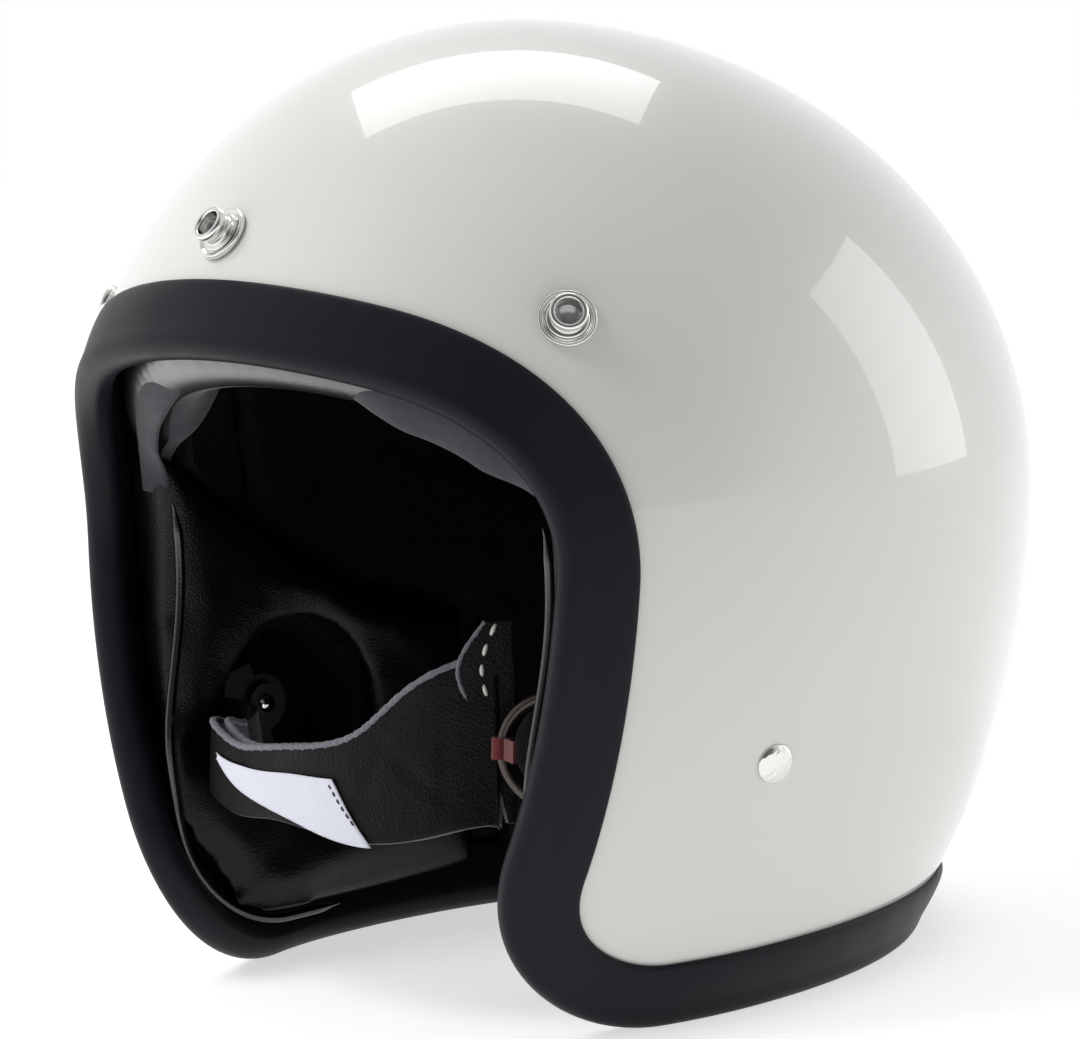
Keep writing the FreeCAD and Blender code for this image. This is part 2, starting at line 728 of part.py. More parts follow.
# ------------------------------------------------------------------ assembly
def make_all():
    parts = {
        "outer_shell": make_shell(),
        "edge_trim": make_trim(),
        "impact_liner_crown": make_crown_liner(),
        "impact_liner_cheek_left": make_cheek_block(LEFT),
        "impact_liner_cheek_right": make_cheek_block(RIGHT),
        "crown_pad": make_crown_pad(),
        "brow_pad": make_brow_pad(),
        "cheek_pad_left": make_cheek_pad(LEFT),
        "cheek_pad_right": make_cheek_pad(RIGHT),
        "neck_roll": make_neck_roll(),
        "strap_rivets": make_strap_rivets(),
        "strap_rivet_washers": make_strap_burrs(),
        "hanger_plate_left": make_hanger(LEFT),
        "hanger_plate_right": make_hanger(RIGHT),
        "strap_short": make_short_strap(),
        "ring_inner": make_ring(-ring_spacing / 2),
        "ring_outer": make_ring(ring_spacing / 2),
        "release_tab": make_release_tab(),
    }
    parts.update(make_snap_pieces())
    parts.update(make_strap_pieces())
    return parts


def set_at_rest(parts):
    """Lean the helmet back onto its straight hem and centre it over the origin."""
    lean = -math.degrees(math.atan(hem_slope))
    for shape in parts.values():
        shape.rotate(V(0, 0, 0), V(1, 0, 0), lean)
    box = FreeCAD.BoundBox()
    for shape in parts.values():
        for point in shape.tessellate(0.1)[0]:
            box.add(point)
    move = V(-(box.XMin + box.XMax) / 2, -(box.YMin + box.YMax) / 2, -box.ZMin)
    for shape in parts.values():
        shape.translate(move)
    print("lean", lean, "move", move.x, move.y, move.z)
    print("box", box.XLength, box.YLength, box.ZLength)


parts = make_all()
for name, shape in parts.items():
    print(name, len(shape.Solids), round(shape.Volume), "" if shape.isValid() else "NOT VALID")
set_at_rest(parts)
os.makedirs("parts", exist_ok=True)
for name, shape in parts.items():
    shape.exportStep(f"parts/{name}.step")
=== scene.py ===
import json
import math

import bmesh
import bpy
import numpy as np
from mathutils import Matrix, Vector


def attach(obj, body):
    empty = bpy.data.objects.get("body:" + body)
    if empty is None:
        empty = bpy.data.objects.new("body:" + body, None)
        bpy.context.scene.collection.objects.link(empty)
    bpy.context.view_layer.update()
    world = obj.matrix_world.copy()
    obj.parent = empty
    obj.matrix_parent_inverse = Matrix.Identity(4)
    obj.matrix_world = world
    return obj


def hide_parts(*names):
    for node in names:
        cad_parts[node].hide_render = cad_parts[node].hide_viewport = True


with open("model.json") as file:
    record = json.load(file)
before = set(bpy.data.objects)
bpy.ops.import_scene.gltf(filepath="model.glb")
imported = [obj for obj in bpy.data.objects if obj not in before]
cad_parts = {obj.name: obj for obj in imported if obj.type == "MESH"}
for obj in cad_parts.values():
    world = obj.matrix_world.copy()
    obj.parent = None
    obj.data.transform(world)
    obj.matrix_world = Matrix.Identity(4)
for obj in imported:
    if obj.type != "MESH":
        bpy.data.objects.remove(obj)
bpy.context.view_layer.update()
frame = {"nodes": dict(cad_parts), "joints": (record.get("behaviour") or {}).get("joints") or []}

print("frame loaded")

# Lengths are in millimetres in the head frame: X to the wearer's left, -Y forward, Z up, with the
# origin at the shell's widest section. toRow leans points back onto the hem and turns them to metres.
mm = 0.001
shell = {
    "halfWidth": 117.0, "front": 113.0, "back": 145.0, "top": 121.0, "bottom": 173.0, "wall": 4.0,
    "cells": 64,  # squares along each edge of the six patches
}
rim = {
    "browStart": (-150.0, 60.5), "temple": (-62.5, 18.0), "templeRadius": 56.0,
    "hemSlope": 0.125, "hemHeight": -117.2, "hemAt": 20.0, "hemEnd": 165.0,
    "cheekY": -61.5, "cheekRadius": 38.0,
    "runSteps": 60, "arcSteps": 120, "hemSteps": 120,
}
pivot = np.array([0.0, -10.9, -61.0])  # the strap swings about X through this point

leanAngle = -math.atan(rim["hemSlope"])
leanTurn = np.array([
    [1.0, 0.0, 0.0],
    [0.0, math.cos(leanAngle), -math.sin(leanAngle)],
    [0.0, math.sin(leanAngle), math.cos(leanAngle)],
])
swing = next(j for j in frame["joints"] if j["name"] == "strap_swing")
restMove = np.array(swing["pos_m"]) / mm - leanTurn @ pivot


# Turns head frame points by the lean, moves them to rest and scales them to metres.
def toRow(points):
    return (np.asarray(points, float) @ leanTurn.T + restMove) * mm


# Each vector divided by its own length.
def unit(vectors):
    return vectors / np.linalg.norm(vectors, axis=-1, keepdims=True)


# 3t^2 - 2t^3, where t runs from 0 at low to 1 at high.
def smoothStep(low, high, values):
    t = np.clip((values - low) / (high - low), 0.0, 1.0)
    return t * t * (3.0 - 2.0 * t)


# Distance along a line of points, from nought at the first.
def runAlong(points):
    return np.concatenate([[0.0], np.cumsum(np.linalg.norm(np.diff(points, axis=0), axis=1))])


# The points of a line at other distances along it.
def pointsAt(places, run, line):
    return np.stack([np.interp(places, run, line[:, k]) for k in range(3)], axis=1)


# A mesh from head frame points, riding on a body; a closed one has its faces turned outwards.
def newPiece(name, points, faces, material, body="helmet", closed=True):
    mesh = bpy.data.meshes.new(name)
    mesh.from_pydata(toRow(points).tolist(), [], faces)
    mesh.validate()
    mesh.polygons.foreach_set("use_smooth", [True] * len(mesh.polygons))
    mesh.update()
    piece = bpy.data.objects.new(name, mesh)
    bpy.context.scene.collection.objects.link(piece)
    mesh.materials.append(material)
    if closed:
        outward(piece)
    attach(piece, body)
    return piece


# Squares between neighbours of a rows x columns grid of points, from the last column back to the
# first where it closes.
def gridFaces(rows, columns, closeColumns=False, start=0):
    j = np.arange(columns if closeColumns else columns - 1)
    i, j = (a.ravel() for a in np.meshgrid(np.arange(rows - 1), j, indexing="ij"))
    side = (j + 1) % columns
    here, up = i * columns, (i + 1) * columns
    corners = [here + j, up + j, up + side, here + side]
    return (np.stack(corners, axis=1) + start).tolist()


# A closed band: the columns go round its section, and each end has its cap.
def bandFaces(rows, columns):
    faces = gridFaces(rows, columns, closeColumns=True)
    last = rows * columns
    return faces + [list(range(columns)), list(range(last - 1, last - 1 - columns, -1))]


# A round section carried along a path: path + radius (cos a * across + sin a * up).
# The frame is the path's direction with a slowly turned reference, so it doesn't twist.
def tube(path, radius, sides=10):
    along = unit(np.gradient(path, axis=0))
    up = np.zeros_like(path)
    last = np.array([0.3, 0.2, 1.0])  # in line with no path here
    for k, way in enumerate(along):
        last = last - way * (last @ way)
        last = last / np.linalg.norm(last)
        up[k] = last
    across = np.cross(along, up)
    angles = np.linspace(0.0, 2.0 * math.pi, sides, endpoint=False)
    ring = np.cos(angles)[None, :, None] * across[:, None] + np.sin(angles)[None, :, None] * up[:, None]
    radii = np.broadcast_to(np.asarray(radius, float), (len(path),))
    points = path[:, None] + ring * radii[:, None, None]
    return points.reshape(-1, 3), bandFaces(len(path), sides)


# Each (radius, height) of the profile carried round the normal: centre + r (cos a, sin a) + h.
def lathe(profile, centre, normal, sides=64):
    normal = unit(np.asarray(normal, float))
    across = unit(np.cross(normal, [0.0, 0.0, 1.0]))
    up = np.cross(normal, across)
    angles = np.linspace(0.0, 2.0 * math.pi, sides, endpoint=False)
    ring = np.cos(angles)[:, None] * across + np.sin(angles)[:, None] * up
    profile = np.asarray(profile, float)
    points = centre + profile[:, :1, None] * ring[None] + (profile[:, 1:] * normal)[:, None]
    return points.reshape(-1, 3), bandFaces(len(profile), sides)


# Several (points, faces) as one.
def joined(parts):
    points, faces, start = [], [], 0
    for some, quads in parts:
        points.append(some)
        faces += [[v + start for v in face] for face in quads]
        start += len(some)
    return np.concatenate(points), faces


# Turns every face of a closed piece outwards.
def outward(piece):
    shape = bmesh.new()
    shape.from_mesh(piece.data)
    bmesh.ops.recalc_face_normals(shape, faces=shape.faces)
    shape.to_mesh(piece.data)
    shape.free()


# A profile with its corners cut off steps times, each time this share of a side. The ends stay.
def rounded(corners, steps, amount):
    points = np.asarray(corners, float)
    for _ in range(steps):
        a, b = points[:-1], points[1:]
        cut = np.stack([a + (b - a) * amount, b + (a - b) * amount], axis=1).reshape(-1, points.shape[1])
        points = np.concatenate([points[:1], cut[1:-1], points[-1:]])
    return points


# The semi-axes that hold at each point: front or back, top or bottom, by its side.
def eggSizes(points, inward=0.0):
    side = np.full(len(points), shell["halfWidth"])
    length = np.where(points[:, 1] < 0, shell["front"], shell["back"])
    height = np.where(points[:, 2] > 0, shell["top"], shell["bottom"])
    return np.stack([side, length, height], axis=1) - inward


# The gradient of (x/a)^2 + (y/b)^2 + (z/c)^2, made unit length.
def eggNormal(points, inward=0.0):
    return unit(points / eggSizes(points, inward) ** 2)


# Where the line through each point along its normal meets the egg: a quadratic's larger root.
def eggHit(points, normals, inward=0.0):
    sizes = eggSizes(points, inward)
    square = ((normals / sizes) ** 2).sum(1)
    linear = (normals * points / sizes**2).sum(1)
    rest = ((points / sizes) ** 2).sum(1) - 1.0
    root = np.sqrt(np.maximum(linear**2 - square * rest, 0.0))
    return points + normals * ((root - linear) / square)[:, None]


# The outer surface at the front with this x and z.
def frontPoint(x, z):
    inside = 1.0 - (x / shell["halfWidth"]) ** 2 - (z / shell["top"]) ** 2
    return np.array([x, -shell["front"] * math.sqrt(inside), z])


# The rim in side view, (y, z): three straight runs with a tangent arc at each corner.
def rimLine():
    def hem(y):
        return rim["hemHeight"] + rim["hemSlope"] * (y - rim["hemAt"])

    corners = np.array([
        rim["browStart"], rim["temple"],
        (rim["cheekY"], hem(rim["cheekY"])), (rim["hemEnd"], hem(rim["hemEnd"])),
    ])
    runs, start = [], corners[0]
    for k, radius in ((1, rim["templeRadius"]), (2, rim["cheekRadius"])):
        before, after = unit(corners[k - 1] - corners[k]), unit(corners[k + 1] - corners[k])
        half = math.acos(before @ after) / 2.0
        a = corners[k] + before * radius / math.tan(half)
        b = corners[k] + after * radius / math.tan(half)
        centre = corners[k] + unit(before + after) * radius / math.sin(half)
        spoke = a - centre
        sign = math.copysign(1.0, spoke[0] * (b - centre)[1] - spoke[1] * (b - centre)[0])
        angles = np.linspace(0.0, sign * (math.pi - 2.0 * half), rim["arcSteps"])[:, None]
        turned = np.cos(angles) * spoke + np.sin(angles) * np.array([-spoke[1], spoke[0]])
        runs += [np.linspace(start, a, rim["runSteps"])[:-1], centre + turned[:-1]]
        start = b
    runs.append(np.linspace(start, corners[3], rim["hemSteps"]))
    return np.concatenate(runs)


rimPath = rimLine()
rimRun = runAlong(rimPath)


# Distance into the shell from the rim, in side view: below nought outside the rim.
def rimInset(points):
    b = rimPath[3::3]  # every third point is fine enough
    a = rimPath[:-1:3][:len(b)]
    along = b - a
    inset = np.empty(len(points))
    batch = 4000  # points at a time, to spare memory
    for chunk in np.array_split(np.arange(len(points)), max(1, len(points) // batch)):
        offset = points[chunk][:, None, 1:] - a[None]
        share = np.clip((offset * along).sum(2) / (along**2).sum(1), 0.0, 1.0)
        away = offset - share[..., None] * along
        distance = np.linalg.norm(away, axis=2)
        near = distance.argmin(1)
        rows = np.arange(len(chunk))
        side = along[near, 0] * away[rows, near, 1] - along[near, 1] * away[rows, near, 0]
        inset[chunk] = distance[rows, near] * np.sign(side)
    return inset


# A unit ball as six square patches, with tan spacing so the squares stay even.
def ballGrid(cells):
    t = np.tan(np.linspace(-1.0, 1.0, cells + 1) * math.pi / 4.0)
    u, v = (a.ravel() for a in np.meshgrid(t, t, indexing="ij"))
    points, faces = [], []
    for axis in range(3):
        for sign in (1.0, -1.0):
            patch = np.empty((len(u), 3))
            patch[:, axis] = sign
            patch[:, (axis + 1) % 3] = u * sign
            patch[:, (axis + 2) % 3] = v
            faces += gridFaces(cells + 1, cells + 1, start=len(points) * len(u))
            points.append(unit(patch))
    points = np.concatenate(points)
    _, first, same = np.unique(points.round(7), axis=0, return_index=True, return_inverse=True)
    return points[first], same.ravel()[np.array(faces)]


# The squares where inside is above nought. Those that it crosses are cut into triangles, and
# their new corners lie where a straight blend of inside is nought, put back on the surface.
def clipped(points, squares, inside, onSurface):
    whole = (inside[squares] > 0).all(1)
    some = (inside[squares] > 0).any(1) & ~whole
    cut = np.concatenate([squares[some][:, [0, 1, 2]], squares[some][:, [0, 2, 3]]])
    kept = inside[cut] > 0
    count = kept.sum(1)
    full = cut[count == 3]
    cut, kept, count = (a[(count == 1) | (count == 2)] for a in (cut, kept, count))
    odd = np.where(count == 1, kept.argmax(1), (~kept).argmax(1))
    rows = np.arange(len(cut))
    lone, left, right = (cut[rows, (odd + k) % 3] for k in range(3))
    edges = np.sort(np.stack([np.concatenate([lone, lone]), np.concatenate([left, right])], 1), axis=1)
    unique, index = np.unique(edges, axis=0, return_inverse=True)
    index = index.ravel() + len(points)
    a, b = inside[unique[:, 0]], inside[unique[:, 1]]
    share = (a / (a - b))[:, None]
    fresh = onSurface(points[unique[:, 0]] * (1 - share) + points[unique[:, 1]] * share)
    first, second = index[:len(cut)], index[len(cut):]
    one = count == 1
    corners = np.stack([lone, first, second], 1)[one].tolist()
    pairs = np.stack([first, left, right, second], 1)[~one].tolist()
    faces = squares[whole].tolist() + full.tolist() + corners + pairs
    points = np.concatenate([points, fresh])
    used, index = np.unique(np.concatenate([np.array(f) for f in faces]), return_inverse=True)
    lengths = np.cumsum([len(f) for f in faces])[:-1]
    return points[used], [f.tolist() for f in np.split(index.ravel(), lengths)]


# A material with one shader, whose even values stand on its own sockets.
def newMaterial(name, colour, roughness, **values):
    material = bpy.data.materials.new(name)
    material.use_nodes = True
    shader = material.node_tree.nodes["Principled BSDF"]
    shader.inputs["Base Color"].default_value = (*colour, 1.0)
    shader.inputs["Roughness"].default_value = roughness
    for socket, value in values.items():
        shader.inputs[socket.replace("_", " ")].default_value = value
    return material


# A node whose named inputs, or else whose settings, get these values.
def addNode(tree, kind, **values):
    node = tree.nodes.new(kind)
    for key, value in values.items():
        if key in node.inputs:
            node.inputs[key].default_value = value
        else:
            setattr(node, key, value)
    return node


grainInputs = ("Pebble Size", "Pebble Depth", "Fibre Size", "Fibre Depth")


# Grain for every soft or cast surface: pebbles from cell edges, fibres from fine noise and slow
# patches. Height feeds a bump, Patches a colour or a roughness.
def grainGroup():
    group = bpy.data.node_groups.new("surfaceGrain", "ShaderNodeTree")
    for way, sockets in (("INPUT", grainInputs), ("OUTPUT", ("Height", "Patches"))):
        for socket in sockets:
            group.interface.new_socket(socket, in_out=way, socket_type="NodeSocketFloat")
    source, target = group.nodes.new("NodeGroupInput"), group.nodes.new("NodeGroupOutput")
    place = group.nodes.new("ShaderNodeTexCoord")
    link = group.links.new

    def scaled(size):
        over = addNode(group, "ShaderNodeMath", operation="DIVIDE")
        over.inputs[0].default_value = 1.0 / mm
        link(source.outputs[size], over.inputs[1])
        return over.outputs[0]

    pebbles = addNode(group, "ShaderNodeTexVoronoi", feature="DISTANCE_TO_EDGE")
    link(place.outputs["Object"], pebbles.inputs["Vector"])
    link(scaled("Pebble Size"), pebbles.inputs["Scale"])
    domes = addNode(group, "ShaderNodeMapRange", interpolation_type="SMOOTHSTEP")
    domes.inputs["From Max"].default_value = 0.35
    link(pebbles.outputs["Distance"], domes.inputs["Value"])
    deep = addNode(group, "ShaderNodeMath", operation="MULTIPLY")
    link(domes.outputs["Result"], deep.inputs[0])
    link(source.outputs["Pebble Depth"], deep.inputs[1])
    fibres = addNode(group, "ShaderNodeTexNoise", Detail=3.0)
    link(place.outputs["Object"], fibres.inputs["Vector"])
    link(scaled("Fibre Size"), fibres.inputs["Scale"])
    fine = addNode(group, "ShaderNodeMath", operation="MULTIPLY_ADD")
    link(fibres.outputs["Fac"], fine.inputs[0])
    link(source.outputs["Fibre Depth"], fine.inputs[1])
    link(deep.outputs[0], fine.inputs[2])
    link(fine.outputs[0], target.inputs["Height"])
    slow = addNode(group, "ShaderNodeTexNoise", Scale=45.0, Detail=2.0)
    link(place.outputs["Object"], slow.inputs["Vector"])
    link(slow.outputs["Fac"], target.inputs["Patches"])
    return group


grain = grainGroup()


# Puts the grain in a material: pebbles and fibres are (size in mm, depth), bump is (strength,
# distance in mm), roughness and colours are the two ends that the slow patches run between.
def addGrain(material, pebbles, fibres, bump, roughness, colours=None):
    tree = material.node_tree
    shader = tree.nodes["Principled BSDF"]
    link = tree.links.new
    spread = addNode(tree, "ShaderNodeGroup", node_tree=grain)
    for socket, value in zip(grainInputs, pebbles + fibres):
        spread.inputs[socket].default_value = value
    raised = addNode(tree, "ShaderNodeBump", Strength=bump[0], Distance=bump[1] * mm)
    link(spread.outputs["Height"], raised.inputs["Height"])
    link(raised.outputs["Normal"], shader.inputs["Normal"])
    worn = addNode(tree, "ShaderNodeMapRange")
    worn.inputs["From Min"].default_value = 0.3
    worn.inputs["From Max"].default_value = 0.7
    worn.inputs["To Min"].default_value, worn.inputs["To Max"].default_value = roughness
    link(spread.outputs["Patches"], worn.inputs["Value"])
    link(worn.outputs["Result"], shader.inputs["Roughness"])
    if colours:
        mix = addNode(tree, "ShaderNodeMix", data_type="RGBA")
        mix.inputs[6].default_value = (*colours[0], 1.0)
        mix.inputs[7].default_value = (*colours[1], 1.0)
        link(spread.outputs["Patches"], mix.inputs["Factor"])
        link(mix.outputs[2], shader.inputs["Base Color"])
    return raised


# Glossy white under a clear coat.
def gelCoatMaterial():
    material = newMaterial("gelCoat", (0.72, 0.725, 0.69), 0.3, Coat_Weight=1.0, Coat_Roughness=0.03,
                           Specular_IOR_Level=0.4)
    addGrain(material, (9.0, 0.0), (14.0, 1.0), (0.01, 0.2), (0.28, 0.31),
             ((0.712, 0.718, 0.682), (0.722, 0.728, 0.693)))
    return material


# Dull soft black with a fine moulded grain.
def rubberMaterial():
    material = newMaterial("trimRubber", (0.010, 0.010, 0.0145), 0.5, Specular_IOR_Level=0.14)
    addGrain(material, (0.8, 0.2), (0.5, 0.5), (0.10, 0.12), (0.40, 0.50),
             ((0.009, 0.009, 0.013), (0.011, 0.011, 0.016)))
    return material


# Pebbles of this size in mm and this deep; shine is the specular level.
def leatherMaterial(name, roughness, size, shine, deep, **coat):
    material = newMaterial(name, (0.0025, 0.0025, 0.0033), 0.4, Specular_IOR_Level=shine, **coat)
    addGrain(material, (size, 1.0), (0.35, 0.35), (deep, 0.12), roughness,
             ((0.0018, 0.0018, 0.0025), (0.004, 0.004, 0.005)))
    return material


# The rough grey back of the leather.
def suedeMaterial():
    material = newMaterial("rawSuede", (0.05, 0.055, 0.065), 0.9, Sheen_Weight=0.2, Sheen_Roughness=0.5)
    addGrain(material, (0.5, 0.3), (0.25, 1.0), (0.8, 0.2), (0.8, 0.95),
             ((0.03, 0.034, 0.042), (0.10, 0.11, 0.13)))
    return material


# Black foam of pressed beads.
def foamMaterial():
    material = newMaterial("foamBeads", (0.005, 0.005, 0.006), 0.8, Specular_IOR_Level=0.1)
    addGrain(material, (3.2, 1.0), (0.4, 0.2), (0.6, 0.35), (0.7, 0.85),
             ((0.004, 0.004, 0.005), (0.007, 0.007, 0.008)))
    return material


# Matt black knit.
def liningMaterial():
    material = newMaterial("liningKnit", (0.0025, 0.0025, 0.003), 0.9, Specular_IOR_Level=0.1)
    addGrain(material, (1.1, 0.8), (0.3, 0.6), (0.5, 0.25), (0.8, 0.95),
             ((0.0018, 0.0018, 0.0024), (0.0035, 0.0035, 0.0045)))
    return material


# Metal with fine scratches and slow patches of roughness.
def metalMaterial(name, colour, roughness):
    material = newMaterial(name, colour, roughness[0], Metallic=1.0)
    addGrain(material, (1.5, 0.0), (0.4, 1.0), (0.05, 0.05), roughness)
    return material


# Two crossed wave bands, sin(x) * sin(z) with half a wave to each yarn, raise the yarns; the grain
# adds fibres. A wave node turns 20 radians a metre at scale 1.
def weaveMaterial(name, colours, pitch, roughness=0.8):
    material = newMaterial(name, colours[0], roughness, Sheen_Weight=0.15)
    raised = addGrain(material, (pitch, 0.0), (0.2, 0.5), (0.35, 0.12), (roughness - 0.05, roughness + 0.05),
                      colours)
    tree = material.node_tree
    link = tree.links.new
    place = tree.nodes.new("ShaderNodeTexCoord")
    halfWave = 3.14
    heights = []
    for way in ("X", "Z"):
        band = addNode(tree, "ShaderNodeTexWave", bands_direction=way, Scale=halfWave / 20.0 / (pitch * mm))
        link(place.outputs["Object"], band.inputs["Vector"])
        heights.append(band.outputs["Fac"])
    cross = addNode(tree, "ShaderNodeMath", operation="MULTIPLY")
    link(heights[0], cross.inputs[0])
    link(heights[1], cross.inputs[1])
    yarn = addNode(tree, "ShaderNodeBump", Strength=0.5, Distance=0.2 * mm)
    link(cross.outputs[0], yarn.inputs["Height"])
    link(raised.outputs["Normal"], yarn.inputs["Normal"])
    link(yarn.outputs["Normal"], tree.nodes["Principled BSDF"].inputs["Normal"])
    return material


# Twisted thread, a fifth darker in patches.
def threadMaterial(name, colour):
    material = newMaterial(name, colour, 0.6)
    darker = tuple(0.8 * c for c in colour)
    addGrain(material, (0.4, 0.2), (0.15, 0.8), (0.4, 0.1), (0.55, 0.7), (colour, darker))
    return material


gelCoat = gelCoatMaterial()
rubber = rubberMaterial()
leather = leatherMaterial("blackLeather", (0.28, 0.42), 0.9, 0.3, 0.45)
browLeather = leatherMaterial("browLeather", (0.26, 0.36), 0.9, 1.0, 0.3, Coat_Weight=0.9, Coat_Roughness=0.3)
pipingVinyl = leatherMaterial("pipingVinyl", (0.16, 0.24), 0.8, 1.0, 0.1)
strapLeather = leatherMaterial("strapLeather", (0.42, 0.6), 1.3, 0.14, 0.8)
rawEdge = weaveMaterial("rawEdge", ((0.09, 0.095, 0.11), (0.22, 0.23, 0.26)), 0.9)
suede = suedeMaterial()
foam = foamMaterial()
lining = liningMaterial()
chrome = metalMaterial("polishedChrome", (0.80, 0.79, 0.77), (0.05, 0.12))
darkNickel = metalMaterial("darkNickel", (0.09, 0.075, 0.07), (0.26, 0.38))
steel = metalMaterial("platedSteel", (0.55, 0.55, 0.56), (0.25, 0.4))
# Steel of the ear hangers and strap rivet washers, made nearly black: painted shade for the dark ear recess.
shadeDarkSteel = metalMaterial("steelWithPaintedShade", (0.06, 0.06, 0.065), (0.4, 0.55))
webbing = weaveMaterial("strapWebbing", ((0.006, 0.006, 0.007), (0.012, 0.012, 0.014)), 1.4)
meshCloth = weaveMaterial("spacerMesh", ((0.012, 0.012, 0.016), (0.06, 0.06, 0.075)), 1.8)
labelCloth = weaveMaterial("labelCloth", ((0.70, 0.71, 0.80), (0.76, 0.77, 0.86)), 0.5)
tabCloth = weaveMaterial("tabCloth", ((0.07, 0.002, 0.004), (0.12, 0.004, 0.006)), 0.8)
thread = threadMaterial("creamThread", (0.75, 0.73, 0.68))
darkThread = threadMaterial("darkThread", (0.03, 0.03, 0.035))
print("materials made")


# x, y and z of a ball stretched by the egg's own semi-axes, cut along the rim, then given its
# wall inwards.
def makeShell():
    ball, squares = ballGrid(shell["cells"])
    points = ball * eggSizes(ball)
    ends, faces = clipped(points, squares, rimInset(points), lambda p: unit(p / eggSizes(p)) * eggSizes(p))
    piece = newPiece("shellSkin", ends, faces, gelCoat, closed=False)
    piece.data.materials.append(foam)  # on the wall's inner face
    wall = piece.modifiers.new("wall", "SOLIDIFY")
    wall.thickness = shell["wall"] * mm
    wall.offset = -1.0
    wall.use_even_offset = True
    wall.material_offset = 1
    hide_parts("outer_shell")


makeShell()
print("shell made")

trim = {
    "stations": 420, "buttGap": 0.6, "search": 40000, "halfSteps": 4000,
    # (along the shell, out from the middle of its wall): the outer flange's lip, its flat face, the
    # round bulb past the shell's edge, then the inner flange and the slot
    "outerFace": [(-14.5, 2.05), (-14.9, 2.5), (-14.7, 3.3), (-13.6, 3.85), (-11.0, 4.2), (-7.0, 4.4),
                  (-3.4, 4.45), (-1.6, 4.7), (0.4, 4.98), (2.3, 4.75), (3.9, 3.6), (4.8, 1.9), (5.0, 0.0),
                  (4.8, -1.9), (3.9, -3.6), (2.3, -4.75), (0.2, -4.95), (-2.4, -4.7), (-6.0, -4.45),
                  (-9.5, -4.1), (-11.3, -3.7), (-11.8, -3.0), (-11.7, -2.3), (-11.4, -2.05)],
    "slot": [(0.4, -2.05), (0.4, 2.05)], "cuts": 2, "cutShare": 0.25,
}


# Stations right round the edge of the shell's middle surface, nape to nape, at even steps. The
# side view gives y and z, and x = half width * sqrt(1 - (y/b)^2 - (z/c)^2).
def rimLoop(stations):
    inward = shell["wall"] / 2.0

    def onEdge(run):
        side = np.stack([np.zeros_like(run), np.interp(run, rimRun, rimPath[:, 0]),
                         np.interp(run, rimRun, rimPath[:, 1])], axis=1)
        inside = 1.0 - ((side / eggSizes(side, inward)) ** 2).sum(1)
        return side, inside

    fine = np.linspace(0.0, rimRun[-1], trim["search"])
    _, inside = onEdge(fine)
    within = fine[inside > 0]
    brow, nape = within[0], within[-1]
    share = (1.0 - np.cos(np.linspace(0.0, math.pi, trim["halfSteps"]))) / 2.0  # closer at both ends
    run = nape + (brow - nape) * share
    side, inside = onEdge(run)
    side[:, 0] = (shell["halfWidth"] - inward) * np.sqrt(np.maximum(inside, 0.0))
    length = runAlong(side)
    half = pointsAt(np.linspace(0.0, length[-1], stations // 2 + 1), length, side)
    half[0, 0] = half[-1, 0] = 0.0
    return np.concatenate([half, half[-2::-1] * [-1.0, 1.0, 1.0]])


# The section carried round the rim: point + e * outward, put back on the wall's middle surface
# along the normal, + n * normal.
def makeTrim():
    loop = rimLoop(trim["stations"])
    around = np.concatenate([loop[-2:-1], loop, loop[1:2]])
    loop[0, 0], loop[-1, 0] = trim["buttGap"] / 2.0, -trim["buttGap"] / 2.0
    along = unit(around[2:] - around[:-2])
    normal = eggNormal(loop, shell["wall"] / 2.0)
    outwards = unit(np.cross(normal, along))
    outerFace = rounded(trim["outerFace"], trim["cuts"], trim["cutShare"])
    profile = np.concatenate([outerFace, np.array(trim["slot"])])
    count, sides = len(loop), len(profile)
    spread = (loop[:, None] + outwards[:, None] * profile[None, :, :1]).reshape(-1, 3)
    normals = np.repeat(normal, sides, axis=0)
    points = eggHit(spread, normals, shell["wall"] / 2.0) + normals * np.tile(profile[:, 1:], (count, 1))
    piece = newPiece("edgeTrim", points, bandFaces(count, sides), rubber)
    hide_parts("edge_trim")


makeTrim()
print("trim made")

pads = {
    "crownPad": {"node": "crown_pad", "voxel": 3.6, "rise": 2.0, "pressure": 4.0, "fill": 0.6},
    "cheekPadLeft": {"node": "cheek_pad_left", "voxel": 3.2, "rise": 3.0, "pressure": 5.0, "fill": 0.8},
    "cheekPadRight": {"node": "cheek_pad_right", "voxel": 3.2, "rise": 3.0, "pressure": 5.0, "fill": 0.8},
    "neckRoll": {"node": "neck_roll", "voxel": 4.0, "rise": 3.0, "pressure": 5.0, "fill": 0.8},
}
padWork = {"weld": 0.02, "relax": 10, "clothQuality": 4, "clothSteps": 15, "headMiddle": (0.0, 10.0, 0.0)}


# Replaces the mesh by what its modifiers make of it.
def applyModifiers(piece):
    seen = piece.evaluated_get(bpy.context.evaluated_depsgraph_get())
    mesh = bpy.data.meshes.new_from_object(seen)
    piece.modifiers.clear()
    piece.data = mesh


def readVertices(mesh, what="co"):
    flat = np.empty(len(mesh.vertices) * 3)
    mesh.vertices.foreach_get(what, flat)
    return flat.reshape(-1, 3)


